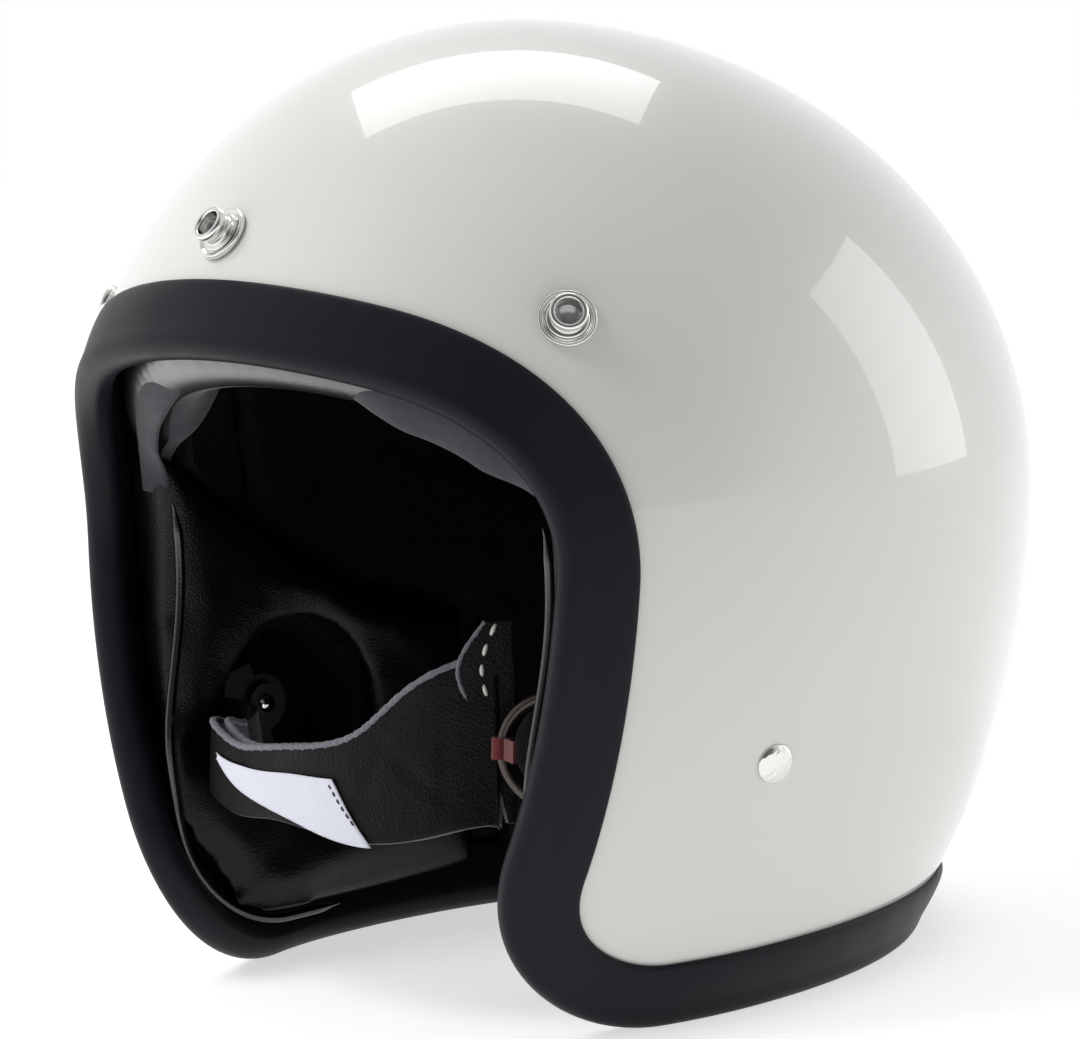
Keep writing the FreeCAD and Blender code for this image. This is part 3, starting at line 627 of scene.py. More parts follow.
# The plain solid remeshed, then swelled as cloth by inner pressure. Each point may move by at
# most rise, and only as far as it faces the head, so the side on the liner stays where it is.
def makePad(name, material):
    sizes = pads[name]
    mesh = frame["nodes"][sizes["node"]].data.copy()
    mesh.name = name
    piece = bpy.data.objects.new(name, mesh)
    bpy.context.scene.collection.objects.link(piece)
    shape = bmesh.new()
    shape.from_mesh(mesh)
    bmesh.ops.remove_doubles(shape, verts=shape.verts, dist=padWork["weld"] * mm)
    shape.to_mesh(mesh)
    shape.free()
    grid = piece.modifiers.new("grid", "REMESH")
    grid.mode = "VOXEL"
    grid.voxel_size = sizes["voxel"] * mm
    applyModifiers(piece)
    relax = piece.modifiers.new("relax", "SMOOTH")
    relax.iterations = padWork["relax"]
    applyModifiers(piece)
    before = readVertices(piece.data)
    cloth = piece.modifiers.new("cloth", "CLOTH")
    cloth.settings.use_pressure = True
    cloth.settings.uniform_pressure_force = sizes["pressure"]
    cloth.settings.effector_weights.gravity = 0.0
    cloth.settings.quality = padWork["clothQuality"]
    for step in range(1, padWork["clothSteps"] + 1):
        bpy.context.scene.frame_set(step)
    applyModifiers(piece)
    bpy.context.scene.frame_set(1)
    after, normals = readVertices(piece.data), readVertices(piece.data, "normal")
    facing = smoothStep(-0.2, 0.5, (unit(toRow(padWork["headMiddle"]) - before) * normals).sum(1))
    step = after - before
    reach = np.linalg.norm(step, axis=1, keepdims=True)
    step *= np.minimum(1.0, sizes["rise"] * mm / np.maximum(reach, 1e-9)) * facing[:, None]
    piece.data.vertices.foreach_set("co", (before + step).ravel())
    piece.data.polygons.foreach_set("use_smooth", [True] * len(piece.data.polygons))
    finer = piece.modifiers.new("finer", "SUBSURF")
    finer.levels = finer.render_levels = 1
    applyModifiers(piece)
    piece.data.materials.clear()
    piece.data.materials.append(material)
    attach(piece, "helmet")
    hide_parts(sizes["node"])


for padName in pads:
    makePad(padName, lining if padName == "crownPad" else leather)
    print(padName, "made")

browMesh = {
    # hang at the middle of the brow and at the temples, and the half widths between which it grows
    "hang": (2.0, 9.5), "growsOver": (28.0, 62.0),
    # e where it starts, n where it starts, how far n falls and how much it bows
    "start": 0.5, "depth": -11.0, "fall": 7.0, "bow": 1.5, "rows": 8, "thickness": 1.2,
}
browRoll = {
    # (along the shell from its edge, out from the middle of its wall), front seam to back seam
    "section": [(-9.0, -6.2), (-5.5, -6.6), (-1.0, -8.0), (3.2, -11.5), (5.4, -16.5), (5.6, -21.5),
                (3.6, -25.5), (-1.5, -28.5), (-12.0, -30.5), (-24.0, -31.5), (-31.0, -32.0),
                (-31.5, -28.0), (-24.0, -24.0), (-15.0, -16.0), (-10.5, -9.0)],
    "middle": (-6.0, -12.0), "stations": 200, "footHeight": -4.0, "taper": 30.0, "endScale": 0.25,
    "pucker": 0.12, "puckerEvery": 9.0, "drift": 2.0, "driftTurn": 0.11,
    "cuts": 3, "cutShare": 0.25, "fill": 0.8,
    "puckersOver": ((-12.0, -4.0), (-16.0, -6.0)),  # they grow from nought between these e and these n
    "meshFrom": (-12.0, -21.0),  # spacer mesh instead of leather where e is above and n below
}


# The section carried round the brow from temple to temple: point + e * outward + n * normal. It
# shrinks on its middle toward the ends, and sin(run) puckers gather it at the front seam.
def makeBrowRoll():
    loop = rimLoop(trim["stations"])
    loop = loop[loop[:, 2] > browRoll["footHeight"]]
    loop = loop[loop[:, 1] < 0.0]
    run = runAlong(loop)
    even = np.linspace(0.0, run[-1], browRoll["stations"])
    loop = pointsAt(even, run, loop)
    along = unit(np.gradient(loop, axis=0))
    normal = eggNormal(loop, shell["wall"] / 2.0)
    outwards = unit(np.cross(normal, along))
    corners = np.array(browRoll["section"])
    profile = rounded(np.concatenate([corners, corners[:1]]), browRoll["cuts"], browRoll["cutShare"])[:-1]
    scale = browRoll["endScale"] + (1.0 - browRoll["endScale"]) * smoothStep(
        0.0, browRoll["taper"], np.minimum(even, even[-1] - even))
    middle = np.array(browRoll["middle"])
    places = middle + (profile - middle)[None] * scale[:, None, None]
    overE, overN = browRoll["puckersOver"]
    front = smoothStep(*overN, profile[:, 1]) * smoothStep(*overE, profile[:, 0])
    uneven = browRoll["drift"] * np.sin(even * browRoll["driftTurn"])
    gather = browRoll["pucker"] * np.sin(even * 2.0 * math.pi / browRoll["puckerEvery"] + uneven)
    places[..., 0] += gather[:, None] * front[None]
    points = loop[:, None] + outwards[:, None] * places[..., :1] + normal[:, None] * places[..., 1:]
    count, sides = len(loop), len(profile)
    piece = newPiece("browPad", points.reshape(-1, 3), bandFaces(count, sides), browLeather)
    piece.data.materials.append(meshCloth)
    behind = (profile[:, 0] > browRoll["meshFrom"][0]) & (profile[:, 1] < browRoll["meshFrom"][1])
    index = np.zeros(len(piece.data.polygons), int)
    index[:(count - 1) * sides] = np.tile(behind.astype(int), count - 1)
    piece.data.polygons.foreach_set("material_index", index)
    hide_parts("brow_pad")
    makeBrowMesh(loop, outwards, normal, scale)


# Spacer mesh under the roll: e = start + hang * v, n = depth - fall * v + bow * sin(pi v). Its hang
# grows from the middle of the brow toward the temples.
def makeBrowMesh(loop, outwards, normal, scale):
    v = np.linspace(0.0, 1.0, browMesh["rows"])
    low, high = browMesh["hang"]
    start, end = browMesh["growsOver"]
    hang = (low + (high - low) * smoothStep(start, end, np.abs(loop[:, 0]))) * scale
    along = browMesh["start"] + hang[:, None] * v
    depth = browMesh["depth"] - browMesh["fall"] * v + browMesh["bow"] * np.sin(math.pi * v)
    depth = np.broadcast_to(depth, along.shape)
    along = np.concatenate([along, along[:, ::-1]], axis=1)
    depth = np.concatenate([depth, depth[:, ::-1] - browMesh["thickness"]], axis=1)
    points = loop[:, None] + outwards[:, None] * along[..., None] + normal[:, None] * depth[..., None]
    piece = newPiece("browMesh", points.reshape(-1, 3), bandFaces(len(loop), 2 * len(v)), meshCloth)


makeBrowRoll()
print("brow roll made")

snap = {
    "height": 64.0, "sideX": 88.3, "sideHeight": 44.9, "cuts": 2, "cutShare": 0.22, "weld": 0.002,
    # (radius, height over the shell) of each turned piece
    "washer": [(2.1, 0.1), (6.9, 0.06), (7.1, 0.35), (7.15, 1.2), (6.95, 1.6), (6.6, 1.7), (6.2, 1.45),
               (5.75, 1.12), (5.4, 1.08), (2.1, 1.08)],
    "stud": [(2.1, 1.12), (5.2, 1.12), (5.35, 1.3), (5.3, 1.75), (5.0, 2.0), (4.2, 2.15), (3.95, 2.5),
             (3.9, 3.9), (4.3, 4.35), (4.7, 4.75), (4.8, 5.3), (4.7, 6.0), (4.35, 6.42), (3.9, 6.5),
             (3.45, 6.4), (3.2, 6.0), (3.1, 5.2), (3.05, 2.4), (2.9, 2.05), (2.1, 2.0)],
    "rivet": [(0.0, 2.7), (0.9, 2.68), (1.6, 2.55), (2.3, 2.3), (2.8, 2.12), (2.95, 2.03), (2.0, 2.03),
              (2.0, -5.3), (3.4, -5.35), (3.3, -6.1), (1.2, -6.4), (0.0, -6.42)],
    "backWasher": [(2.1, -4.32), (5.8, -4.32), (6.0, -4.5), (6.0, -5.1), (5.8, -5.28), (2.1, -5.28)],
}
snapPlaces = [frontPoint(0.0, snap["height"])]
snapPlaces += [frontPoint(s * snap["sideX"], snap["sideHeight"]) for s in (1.0, -1.0)]


# One lathe shape on every snap's place, its corners rounded.
def makeSnapSet(name, key, node, material):
    profile = rounded(snap[key], snap["cuts"], snap["cutShare"])
    parts = [lathe(profile, p, eggNormal(p[None])[0]) for p in snapPlaces]
    piece = newPiece(name, *joined(parts), material, closed=False)
    shape = bmesh.new()
    shape.from_mesh(piece.data)
    bmesh.ops.remove_doubles(shape, verts=shape.verts, dist=snap["weld"] * mm)
    bmesh.ops.dissolve_degenerate(shape, edges=shape.edges, dist=snap["weld"] / 2.0 * mm)
    bmesh.ops.recalc_face_normals(shape, faces=shape.faces)
    shape.to_mesh(piece.data)
    shape.free()
    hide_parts(node)


makeSnapSet("snapWashers", "washer", "snap_washers", chrome)
makeSnapSet("snapStuds", "stud", "snap_studs", chrome)
makeSnapSet("snapRivets", "rivet", "snap_rivets", steel)
makeSnapSet("snapBackWashers", "backWasher", "snap_back_washers", steel)

rivet = {
    "radius": 5.0, "height": 1.75, "seat": 0.03, "shankRadius": 2.5, "footX": 91.4, "overlap": 0.3,
    "rings": 26, "sides": 72, "shankSides": 32,
    "dents": 0.16, "dentsOver": (0.25, 0.7),  # how deep, and the heights between which they grow
}


# A dome h(r) = height * sqrt(1 - (r/R)^2), dented by crossed cosines, with its shank along X.
def makeRivets():
    parts = []
    for side in (1.0, -1.0):
        inside = 1.0 - (pivot[1] / shell["front"]) ** 2 - (pivot[2] / shell["bottom"]) ** 2
        head = np.array([side * shell["halfWidth"] * math.sqrt(inside), pivot[1], pivot[2]])
        normal = eggNormal(head[None])[0]
        r = rivet["radius"] * np.sin(np.linspace(0.02, math.pi / 2.0, rivet["rings"]))
        rise = rivet["height"] * np.sqrt(np.maximum(1.0 - (r / rivet["radius"]) ** 2, 0.0))
        profile = np.stack([r, rise + rivet["seat"]], axis=1)
        profile = np.concatenate([profile, [[rivet["radius"], 0.0], [rivet["shankRadius"], 0.0]]])
        points, faces = lathe(profile, head, normal, rivet["sides"])
        offset = points - head
        level = unit(np.cross(normal, [0.0, 0.0, 1.0]))
        x, y = offset @ level, offset @ np.cross(normal, level)
        dents = np.cos(1.6 * x + 1.3 * np.sin(1.1 * y)) * np.cos(1.4 * y + 1.1 * np.sin(1.5 * x + 1.0))
        over = smoothStep(*rivet["dentsOver"], offset @ normal)
        points = points - normal * (rivet["dents"] * np.maximum(dents, 0.0) * over)[:, None]
        parts.append((points, faces))
        foot = [side * rivet["footX"], pivot[1], pivot[2]]
        shank = np.linspace(foot, head + [side * rivet["overlap"], 0, 0], 4)
        parts.append(tube(shank, rivet["shankRadius"], rivet["shankSides"]))
    piece = newPiece("strapRivets", *joined(parts), chrome)
    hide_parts("strap_rivets")


makeRivets()
print("hardware made")

strap = {
    "rightExit": 22.0, "halfWidth": 8.0, "thickness": 2.0, "layerGap": 0.2, "padLayer": 1.4,
    # reach forward of the right rivet and distance from the middle, through the right ear recess
    "exitRoute": [(13.8, 96.2), (13.8, 93.0), (14.2, 88.0), (15.2, 82.0), (16.8, 76.0), (20.5, 71.0),
                  (28.0, 68.0)],
    # points in the head frame, from under the right cheek round the chin to the rings
    "loopRoute": [(-62.0, -48.5, -70.4), (-43.0, -57.0, -74.3), (-21.0, -61.0, -73.9), (0.0, -61.8, -73.7),
                  (16.0, -60.0, -72.1), (28.0, -57.0, -67.5), (38.0, -52.5, -62.0), (47.0, -45.2, -59.0)],
    "ringBar": (66.5, -39.5, -59.5), "ringWay": (-0.793, -0.609, 0.0),
    "tailRoute": [(11.4, -6.2), (8.2, -1.6), (6.6, 3.8), (6.0, 9.6)],  # along the rings' way and out
    # one per knot from the pad's start to its end
    "padHalfWidths": [8.7, 8.9, 9.0, 9.2, 11.2, 14.1, 17.0, 19.5, 21.5],
}


# A cubic through every knot whose second derivative is nought at both ends.
def naturalSpline(knots, values, t):
    h = np.diff(knots)
    count = len(knots)
    matrix, rest = np.eye(count), np.zeros((count, values.shape[1]))
    for k in range(1, count - 1):
        matrix[k, k - 1:k + 2] = h[k - 1], 2.0 * (h[k - 1] + h[k]), h[k]
        rest[k] = 6.0 * ((values[k + 1] - values[k]) / h[k] - (values[k] - values[k - 1]) / h[k - 1])
    bend = np.linalg.solve(matrix, rest)
    k = np.clip(np.searchsorted(knots, t, side="right") - 1, 0, count - 2)
    a, b, w = (knots[k + 1] - t)[:, None], (t - knots[k])[:, None], h[k][:, None]
    before = (values[k] / w - bend[k] * w / 6.0) * a
    after = (values[k + 1] / w - bend[k + 1] * w / 6.0) * b
    return (bend[k] * a**3 + bend[k + 1] * b**3) / (6.0 * w) + before + after


# A smooth value at t from one per knot, with each knot's slope from its neighbours.
def throughKnots(knots, values, t):
    values = np.asarray(values, float)
    values = values if values.ndim > 1 else values[:, None]
    slopes = np.gradient(values, knots, axis=0, edge_order=1)
    k = np.clip(np.searchsorted(knots, t, side="right") - 1, 0, len(knots) - 2)
    span = (knots[k + 1] - knots[k])[:, None]
    u = ((t - knots[k]) / span[:, 0])[:, None]
    rise = slopes[k] * span * u * (1 - u) ** 2 - slopes[k + 1] * span * u * u * (1 - u)
    return values[k] + (values[k + 1] - values[k]) * u * u * (3 - 2 * u) + rise


# Along the rings, across the strap, and out away from the chin.
def ringAxes():
    towards = unit(np.array(strap["ringWay"]))
    across = np.array([0.0, 0.0, 1.0])
    across = unit(across - towards * (across @ towards))
    return towards, across, np.cross(across, towards)


# The strap's knots, their points and directions across, from the right rivet to the tail.
def strapLine():
    angle = math.radians(strap["rightExit"])
    forward = np.array([0.0, -math.cos(angle), -math.sin(angle)])
    exitAcross = np.array([0.0, -math.sin(angle), math.cos(angle)])
    leaving = [np.array([-x, pivot[1], pivot[2]]) + forward * reach for reach, x in strap["exitRoute"]]
    towards, across, away = ringAxes()
    tail = [np.array(strap["ringBar"]) + towards * a + away * o for a, o in strap["tailRoute"]]
    points = np.array(leaving + [np.array(p) for p in strap["loopRoute"]] + tail)
    up = np.array([0.0, 0.0, 1.0])
    count = len(leaving) + 1
    turning = [unit(exitAcross * (1 - k / (count - 3)) + up * (k / (count - 3))) for k in range(count - 2)]
    ways = [exitAcross, exitAcross] + turning + [up] * (len(strap["loopRoute"]) - 1) + [across] * len(tail)
    padEnds = len(leaving) - 1, len(leaving) + len(strap["loopRoute"]) - 1
    return runAlong(points), points, np.array(ways), *padEnds


routeKnots, routePoints, routeWays, padStart, padEnd = strapLine()


# Point, direction across and normal of the strap at each t along it.
def strapFrames(t):
    step = 0.05
    before, point, after = (naturalSpline(routeKnots, routePoints, t + k * step) for k in (-1, 0, 1))
    along = unit(after - before)
    side = throughKnots(routeKnots, routeWays, t)
    side = unit(side - along * (side * along).sum(1, keepdims=True))
    return point, side, unit(np.cross(along, side))


chinBand = {
    "stations": 150, "columns": 34, "squareness": 26.0, "rawEdgeFrom": 0.985,
    # furrows: place along the strap from its middle, slant, width; then the layer's depth and slow waves
    "creasePlaces": [(16.0, 0.9, 3.0), (30.0, -0.6, 2.4), (40.0, 0.5, 2.2), (-40.0, 0.5, 3.0)],
    "creaseReach": 13.0, "creases": 0.33, "waves": 0.072,
}


# A thin section (-1..1 across, 0..1 through), through = sqrt(1 - |across|^squareness): top face, then
# bottom face.
def bandSection():
    across = np.sin(np.linspace(-math.pi / 2.0, math.pi / 2.0, chinBand["columns"]))
    edge = np.sqrt(np.maximum(1.0 - np.abs(across) ** chinBand["squareness"], 0.0)) * 0.5
    top = np.stack([across, 0.5 + edge], axis=1)
    bottom = np.stack([across[::-1], 0.5 - edge[::-1]], axis=1)[1:-1]
    return np.concatenate([top, bottom])


# A layer of the strap between two heights over its middle line: point + across * s + normal * h.
def bandLayer(name, low, high, material, ripple=None):
    knots = routeKnots[padStart:padEnd + 1]
    t = np.linspace(knots[0], knots[-1], chinBand["stations"])
    point, side, normal = strapFrames(t)
    section = bandSection()
    s = section[None, :, 0] * throughKnots(knots, strap["padHalfWidths"], t)
    h = low + (high - low) * section[None, :, 1] + np.zeros_like(s)
    if ripple:
        h = h + ripple(t[:, None], s)
    points = point[:, None] + side[:, None] * s[..., None] + normal[:, None] * h[..., None]
    return newPiece(name, points.reshape(-1, 3), bandFaces(*s.shape), material, "chin_strap")


# Slow crossed waves, less slanted furrows exp(-(distance / width)^2) that fade toward the edges.
def leatherCreases(t, s):
    rise = chinBand["waves"] * np.sin(0.31 * t + 0.22 * s) * np.sin(0.17 * t - 0.33 * s + 1.0)
    for place, slant, width in chinBand["creasePlaces"]:
        distance = t - routeKnots[padStart + 4] - place - slant * s
        rise -= chinBand["creases"] * np.exp(-((distance / width) ** 2) - (s / chinBand["creaseReach"]) ** 2)
    return rise


# Gives the cut edge its own material: the faces whose middle is further across than a share.
def splitEdge(piece, edge):
    piece.data.materials.append(edge)
    place = bandSection()
    middle = (place + np.roll(place, -1, axis=0)) / 2.0
    raw = np.abs(middle[:, 0]) > chinBand["rawEdgeFrom"]
    quads = np.tile(raw.astype(int), chinBand["stations"] - 1)
    index = np.zeros(len(piece.data.polygons), int)  # the two caps keep the first material
    index[:len(quads)] = quads
    piece.data.polygons.foreach_set("material_index", index)


# The pad's leather face and suede back, one layer gap off the webbing.
def makeChinBand():
    inner = strap["thickness"] / 2.0 + strap["layerGap"]
    outer = inner + strap["padLayer"]
    face = bandLayer("chinPadFace", inner, outer, strapLeather, leatherCreases)
    back = bandLayer("chinPadBack", -outer, -inner, suede)
    splitEdge(face, suede)
    for piece, node, slotName in ((face, "chin_pad_face", "leather"), (back, "chin_pad_back", "suede")):
        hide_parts(node)
    return outer


bandFace = makeChinBand()  # height of the leather's face over the strap's middle line

label = {
    # places along the strap and across it, from the tip at the far end to the slanted cut end
    "top": [(61.1, 3.8), (75.0, 4.2), (90.0, 3.0), (104.0, 3.2), (117.7, 3.0)],
    "bottom": [(61.8, 2.6), (76.0, -2.0), (91.0, -6.2), (106.3, -9.4), (128.0, -14.8)],
    "rows": 60, "columns": 20, "thickness": 0.4, "curl": 0.35,
    "stitchFrom": (116.6, 1.5), "stitchTo": (124.0, -8.5), "stitches": 6, "stitchRadius": 0.28,
    "stitchLifts": [-0.15, 0.1, 0.2, 0.1, -0.15],  # over the label, along each stitch
}


# Points on the strap: middle line + across * s + normal * lift.
def onBand(t, s, lift):
    point, side, normal = strapFrames(t)
    return point + side * s[:, None] + normal * np.broadcast_to(lift, t.shape)[:, None]


# top(a) + b * (bottom(a) - top(a)) laid on the strap, with its long edges curled up a little.
def makeLabel():
    low = bandFace + strap["layerGap"]
    high = low + label["thickness"]
    knots = np.linspace(0.0, 1.0, len(label["top"]))
    rows, columns = label["rows"], label["columns"]
    a = np.repeat(np.linspace(0.0, 1.0, rows), columns)
    b = np.tile(np.linspace(0.0, 1.0, columns), rows)
    top, bottom = (throughKnots(knots, label[edge], a) for edge in ("top", "bottom"))
    place = top + b[:, None] * (bottom - top)
    curl = label["curl"] * (np.abs(2.0 * b - 1.0) ** 6)
    sheets = [onBand(place[:, 0], place[:, 1], lift + curl) for lift in (low, high)]
    faces = gridFaces(rows, columns)
    count = rows * columns
    edge = [k for k in range(columns)] + [columns * (r + 1) - 1 for r in range(1, rows)]
    edge += [count - 2 - k for k in range(columns - 1)] + [columns * r for r in range(rows - 2, 0, -1)]
    faces += [[v + count for v in reversed(face)] for face in faces]
    faces += [[p, q, q + count, p + count] for p, q in zip(edge, edge[1:] + edge[:1])]
    piece = newPiece("strapLabel", np.concatenate(sheets), faces, labelCloth, "chin_strap")
    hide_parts("strap_label")
    ends = np.linspace(label["stitchFrom"], label["stitchTo"], 2 * label["stitches"])
    parts = []
    lifts = high + np.array(label["stitchLifts"])
    for start, end in zip(ends[::2], ends[1::2]):
        way = np.linspace(start, end, len(lifts))
        parts.append(tube(onBand(way[:, 0], way[:, 1], lifts), label["stitchRadius"], 8))
    stitches = newPiece("labelStitches", *joined(parts), darkThread, "chin_strap")


makeLabel()

rawEdges = {"startGap": 1.0, "sunk": 0.15, "radius": 0.95, "fuzz": 0.15, "stations": 260}


# The two layers' fuzzy cut edges along the strap's top: cords of radius + fuzz * sin * sin.
def makeRawEdges():
    knots = routeKnots[padStart:padEnd + 1]
    t = np.linspace(knots[0] + rawEdges["startGap"], knots[-1], rawEdges["stations"])
    top = throughKnots(knots, strap["padHalfWidths"], t)[:, 0] - rawEdges["sunk"]
    radius = rawEdges["radius"] + rawEdges["fuzz"] * np.sin(2.1 * t) * np.sin(0.73 * t)
    lifts = (bandFace - strap["padLayer"] / 2.0) * np.array([1.0, -1.0])
    parts = [tube(onBand(t, top, lift), radius, 10) for lift in lifts]
    piece = newPiece("strapRawEdges", *joined(parts), rawEdge, "chin_strap")


makeRawEdges()

collar = {
    # the pad's near end folded outwards: its middle line and half width, top to bottom
    "line": [(49.1, -47.5, -28.6), (46.0, -49.0, -41.0), (46.8, -46.4, -51.6), (48.1, -44.2, -65.7),
             (49.3, -42.8, -79.0)],
    "halfWidths": [3.4, 7.2, 5.6, 3.0, 0.9], "thickness": 1.3, "turn": (0.70, 0.71, 0.06), "bow": 0.2,
    "outwards": (0.6, -0.8, 0.0), "stations": 60, "columns": 15,
    "stitches": 6, "firstStitch": 2.5, "stitchLength": 2.9, "stitchEvery": 5.2, "seamAt": -0.15,
    "stitchRadii": [0.22, 0.4675, 0.55, 0.55, 0.55, 0.4675, 0.22], "stitchLift": 0.25, "stitchSink": 0.4,
    "edgeAt": -0.97, "edgeLift": 0.2, "edgeGap": 0.5, "edgeRadius": 0.62, "edgeFuzz": 0.1,
}


# Points of the leaf: line + way * s + normal * (lift + bow (1 - s^2)).
def collarPoint(knots, t, across, lift):
    line = naturalSpline(knots, np.array(collar["line"]), t)
    half = throughKnots(knots, collar["halfWidths"], t)[:, 0]
    way = unit(np.array(collar["turn"]))
    along = unit(naturalSpline(knots, np.array(collar["line"]), t + 0.05) - line)
    normal = unit(np.cross(along, way))
    normal = normal * np.sign(normal @ np.array(collar["outwards"]))[:, None]
    return line + way * (across * half)[:, None] + normal * (lift + collar["bow"] * (1 - across**2))[:, None]


# The leaf given its thickness, with a row of stitches along it and its fuzzy cut edge.
def makeCollar():
    knots = runAlong(np.array(collar["line"]))
    count, columns = collar["stations"], collar["columns"]
    t = np.repeat(np.linspace(0.0, knots[-1], count), columns)
    across = np.tile(np.linspace(-1.0, 1.0, columns), count)
    leaf = collarPoint(knots, t, across, 0.0), gridFaces(count, columns)
    piece = newPiece("strapCollar", *leaf, strapLeather, "chin_strap", closed=False)
    wall = piece.modifiers.new("wall", "SOLIDIFY")
    wall.thickness, wall.offset = collar["thickness"] * mm, 0.0
    soft = piece.modifiers.new("soft", "SUBSURF")
    soft.levels = soft.render_levels = 1
    places = np.linspace(-1.0, 1.0, len(collar["stitchRadii"]))
    lift = collar["thickness"] / 2.0 + collar["stitchLift"] - collar["stitchSink"] * places**2
    parts = []
    for k in range(collar["stitches"]):
        along = collar["firstStitch"] + k * collar["stitchEvery"] + places * collar["stitchLength"] / 2.0
        path = collarPoint(knots, along, np.full(len(along), collar["seamAt"]), lift)
        parts.append(tube(path, collar["stitchRadii"], 8))
    stitches = newPiece("collarStitches", *joined(parts), thread, "chin_strap")
    edge = np.linspace(collar["edgeGap"], knots[-1] - collar["edgeGap"], 90)
    radius = collar["edgeRadius"] + collar["edgeFuzz"] * np.sin(3.1 * edge) * np.sin(1.3 * edge)
    path = collarPoint(knots, edge, np.full(len(edge), collar["edgeAt"]), collar["edgeLift"])
    piece = newPiece("collarRawEdge", *tube(path, radius, 8), rawEdge, "chin_strap")


makeCollar()

# The finishes of the nodes that stay as they are.
kept = {
    webbing: ["strap_long", "strap_short"],
    darkNickel: ["ring_inner", "ring_outer"],
    tabCloth: ["release_tab"],
    # The hangers and rivet washers sit in the ear recess; their nearly black steel is painted shade.
    shadeDarkSteel: ["hanger_plate_left", "hanger_plate_right", "strap_rivet_washers"],
    foam: ["impact_liner_crown", "impact_liner_cheek_left", "impact_liner_cheek_right"],
}
for material, nodes in kept.items():
    for node in nodes:
        for holder in frame["nodes"][node].material_slots:
            holder.material = material
print("strap made")

piping = {
    "from": 0.258, "to": 0.62,  # shares of the rim, from the brow to the nape
    "inset": 6.4, "wave": 2.6, "waveMiddle": -50.0, "waveHalf": 50.0, "waveFrom": (-95.0, -60.0),
    "radius": 1.3, "endShare": 0.15, "taper": 8.0, "stations": 160,
    "halfWidth": 75.4, "length": 392.0, "height": 292.0,  # semi-axes of the pads' inner face
}


# A cord along each cheek pad's front corner: the rim moved in by inset + wave * sin(z), at
# x = half width * sqrt(1 - (y/b)^2 - (z/c)^2), thinner at its ends.
def makePiping():
    run = rimRun[-1] * np.linspace(piping["from"], piping["to"], piping["stations"])
    y, z = np.interp(run, rimRun, rimPath[:, 0]), np.interp(run, rimRun, rimPath[:, 1])
    normal = unit(np.stack([-np.gradient(z), np.gradient(y)], axis=1))
    wave = np.sin((z - piping["waveMiddle"]) * math.pi / piping["waveHalf"])
    inset = piping["inset"] + piping["wave"] * wave * smoothStep(*piping["waveFrom"], z)
    y, z = y + normal[:, 0] * inset, z + normal[:, 1] * inset
    x = piping["halfWidth"] * np.sqrt(1 - (y / piping["length"]) ** 2 - (z / piping["height"]) ** 2)
    toEnd = np.minimum(np.arange(len(x)), np.arange(len(x))[::-1])
    thin = piping["endShare"]
    radius = piping["radius"] * (thin + (1.0 - thin) * smoothStep(0.0, piping["taper"], toEnd))
    for side, name in ((1.0, "cheekPipingLeft"), (-1.0, "cheekPipingRight")):
        piece = newPiece(name, *tube(np.stack([side * x, y, z], axis=1), radius, 12), pipingVinyl)


makePiping()
print("piping made")

studio = {
    "floor": (0.62, 0.62, 0.62), "floorGlow": 0.60, "floorSize": 20.0,
    # the surroundings are bright behind and at the sides, and darker toward the camera and overhead:
    # which way, the two cosines that the fade runs between, and the strength at its end
    "fades": {"camera": (0.2, 0.9, 0.14), "overhead": (0.1, 1.0, 0.62)},
    "cameraAzimuth": 49.467, "cameraElevation": 2.67, "cameraRoll": 0.824, "distance": 1293.53,
    "slide": (5.097, -7.33), "focal": 167.5155, "sensor": 36.0,
    # centre, size, turn about Z or None where it faces the helmet, radiance, and whether it lights dull
    # surfaces or only shows as a reflection
    "lamps": {
        "crownBox": ((-330.0, 200.0, 800.0), (680.0, 440.0), 47.0, 2.4, False),
        "sidePanel": ((780.0, 1820.0, 420.0), (800.0, 1700.0), None, 1.5, False),
        "keyBox": ((-700.0, -1100.0, 1300.0), (900.0, 900.0), None, 7.0, True),
    },
}


# A flat square of pale paper that glows a little, so it stays pale in the shade.
def makeFloor():
    size = studio["floorSize"]
    mesh = bpy.data.meshes.new("studioFloor")
    corners = [(-size, -size, 0), (size, -size, 0), (size, size, 0), (-size, size, 0)]
    mesh.from_pydata(corners, [], [[0, 1, 2, 3]])
    floor = bpy.data.objects.new("studioFloor", mesh)
    bpy.context.scene.collection.objects.link(floor)
    paint = newMaterial("studioPaper", studio["floor"], 0.9, Emission_Strength=studio["floorGlow"],
                        Specular_IOR_Level=0.2)
    paint.node_tree.nodes["Principled BSDF"].inputs["Emission Color"].default_value = (1.0, 1.0, 1.0, 1.0)
    addGrain(paint, (2.0, 0.0), (1.5, 0.2), (0.05, 0.1), (0.85, 0.95))
    mesh.materials.append(paint)


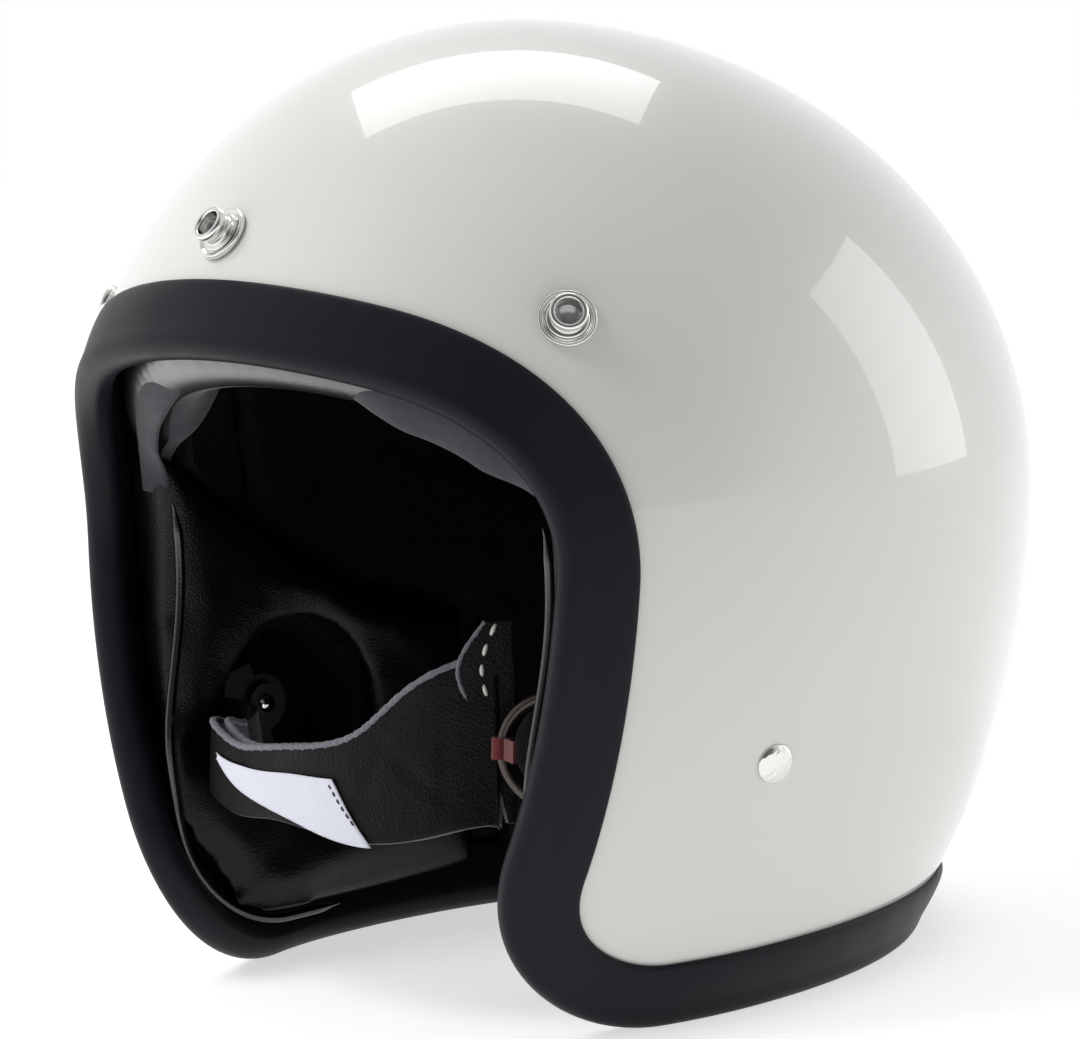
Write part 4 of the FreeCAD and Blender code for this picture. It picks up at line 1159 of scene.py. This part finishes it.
# White surroundings of strength fade(camera) * fade(overhead), each a smooth step of a direction's
# cosine to that way.
def makeWorld():
    world = bpy.data.worlds.new("studioWorld")
    world.use_nodes = True
    tree = world.node_tree
    tree.nodes["Background"].inputs["Color"].default_value = (1.0, 1.0, 1.0, 1.0)
    place = tree.nodes.new("ShaderNodeTexCoord")
    both = addNode(tree, "ShaderNodeMath", operation="MULTIPLY")
    tree.links.new(both.outputs[0], tree.nodes["Background"].inputs["Strength"])
    ways = {"camera": tuple(leanTurn @ cameraAxes()[2]), "overhead": (0.0, 0.0, 1.0)}
    for socketIn, (name, (low, high, end)) in zip(both.inputs, studio["fades"].items()):
        share = addNode(tree, "ShaderNodeVectorMath", operation="DOT_PRODUCT")
        share.inputs[1].default_value = ways[name]
        tree.links.new(place.outputs["Generated"], share.inputs[0])
        fade = addNode(tree, "ShaderNodeMapRange", interpolation_type="SMOOTHSTEP")
        for socket, value in (("From Min", low), ("From Max", high), ("To Min", 1.0), ("To Max", end)):
            fade.inputs[socket].default_value = value
        tree.links.new(share.outputs["Value"], fade.inputs["Value"])
        tree.links.new(fade.outputs["Result"], socketIn)
    bpy.context.scene.world = world


# Box lamps of energy radiance * pi * area, each either seen in gloss or lighting dull surfaces.
def makeLights():
    for name, (centre, size, turn, radiance, dull) in studio["lamps"].items():
        lamp = bpy.data.lights.new(name, "AREA")
        lamp.shape = "RECTANGLE"
        lamp.size, lamp.size_y = size[0] * mm, size[1] * mm
        lamp.energy = radiance * math.pi * lamp.size * lamp.size_y
        holder = bpy.data.objects.new(name, lamp)
        holder.location = toRow(np.array([centre]))[0]
        holder.visible_glossy, holder.visible_diffuse = not dull, dull
        if turn is None:
            aim = Vector(toRow(np.zeros((1, 3)))[0]) - holder.location
            holder.rotation_euler = aim.to_track_quat("-Z", "Y").to_euler()
        else:
            holder.rotation_euler = (leanAngle, 0.0, math.radians(turn))
        bpy.context.scene.collection.objects.link(holder)


# The camera's right, up and back in the head frame, from its azimuth, elevation and roll.
def cameraAxes():
    az, el = math.radians(studio["cameraAzimuth"]), math.radians(studio["cameraElevation"])
    roll = math.radians(studio["cameraRoll"])
    back = np.array([math.sin(az) * math.cos(el), -math.cos(az) * math.cos(el), math.sin(el)])
    level = np.array([math.cos(az), math.sin(az), 0.0])
    upright = np.cross(level, -back)
    right = math.cos(roll) * level + math.sin(roll) * upright
    return right, math.cos(roll) * upright - math.sin(roll) * level, back


# The camera at right * slide + up * slide + back * distance from the head frame's origin.
def makeCamera():
    right, up, back = cameraAxes()
    place = right * studio["slide"][0] + up * studio["slide"][1] + back * studio["distance"]
    data = bpy.data.cameras.new("camera")
    data.lens = studio["focal"]
    data.sensor_width = studio["sensor"]
    data.sensor_fit = "HORIZONTAL"
    data.clip_start = 0.01
    camera = bpy.data.objects.new("camera", data)
    axes = np.eye(4)
    axes[:3, :3] = leanTurn @ np.stack([right, up, back], axis=1)
    axes[:3, 3] = toRow(place[None])[0]
    camera.matrix_world = Matrix(axes.tolist())
    bpy.context.scene.collection.objects.link(camera)
    bpy.context.scene.camera = camera


makeFloor()
makeWorld()
makeLights()
makeCamera()
bpy.context.scene.view_settings.view_transform = "Standard"
print("studio made")
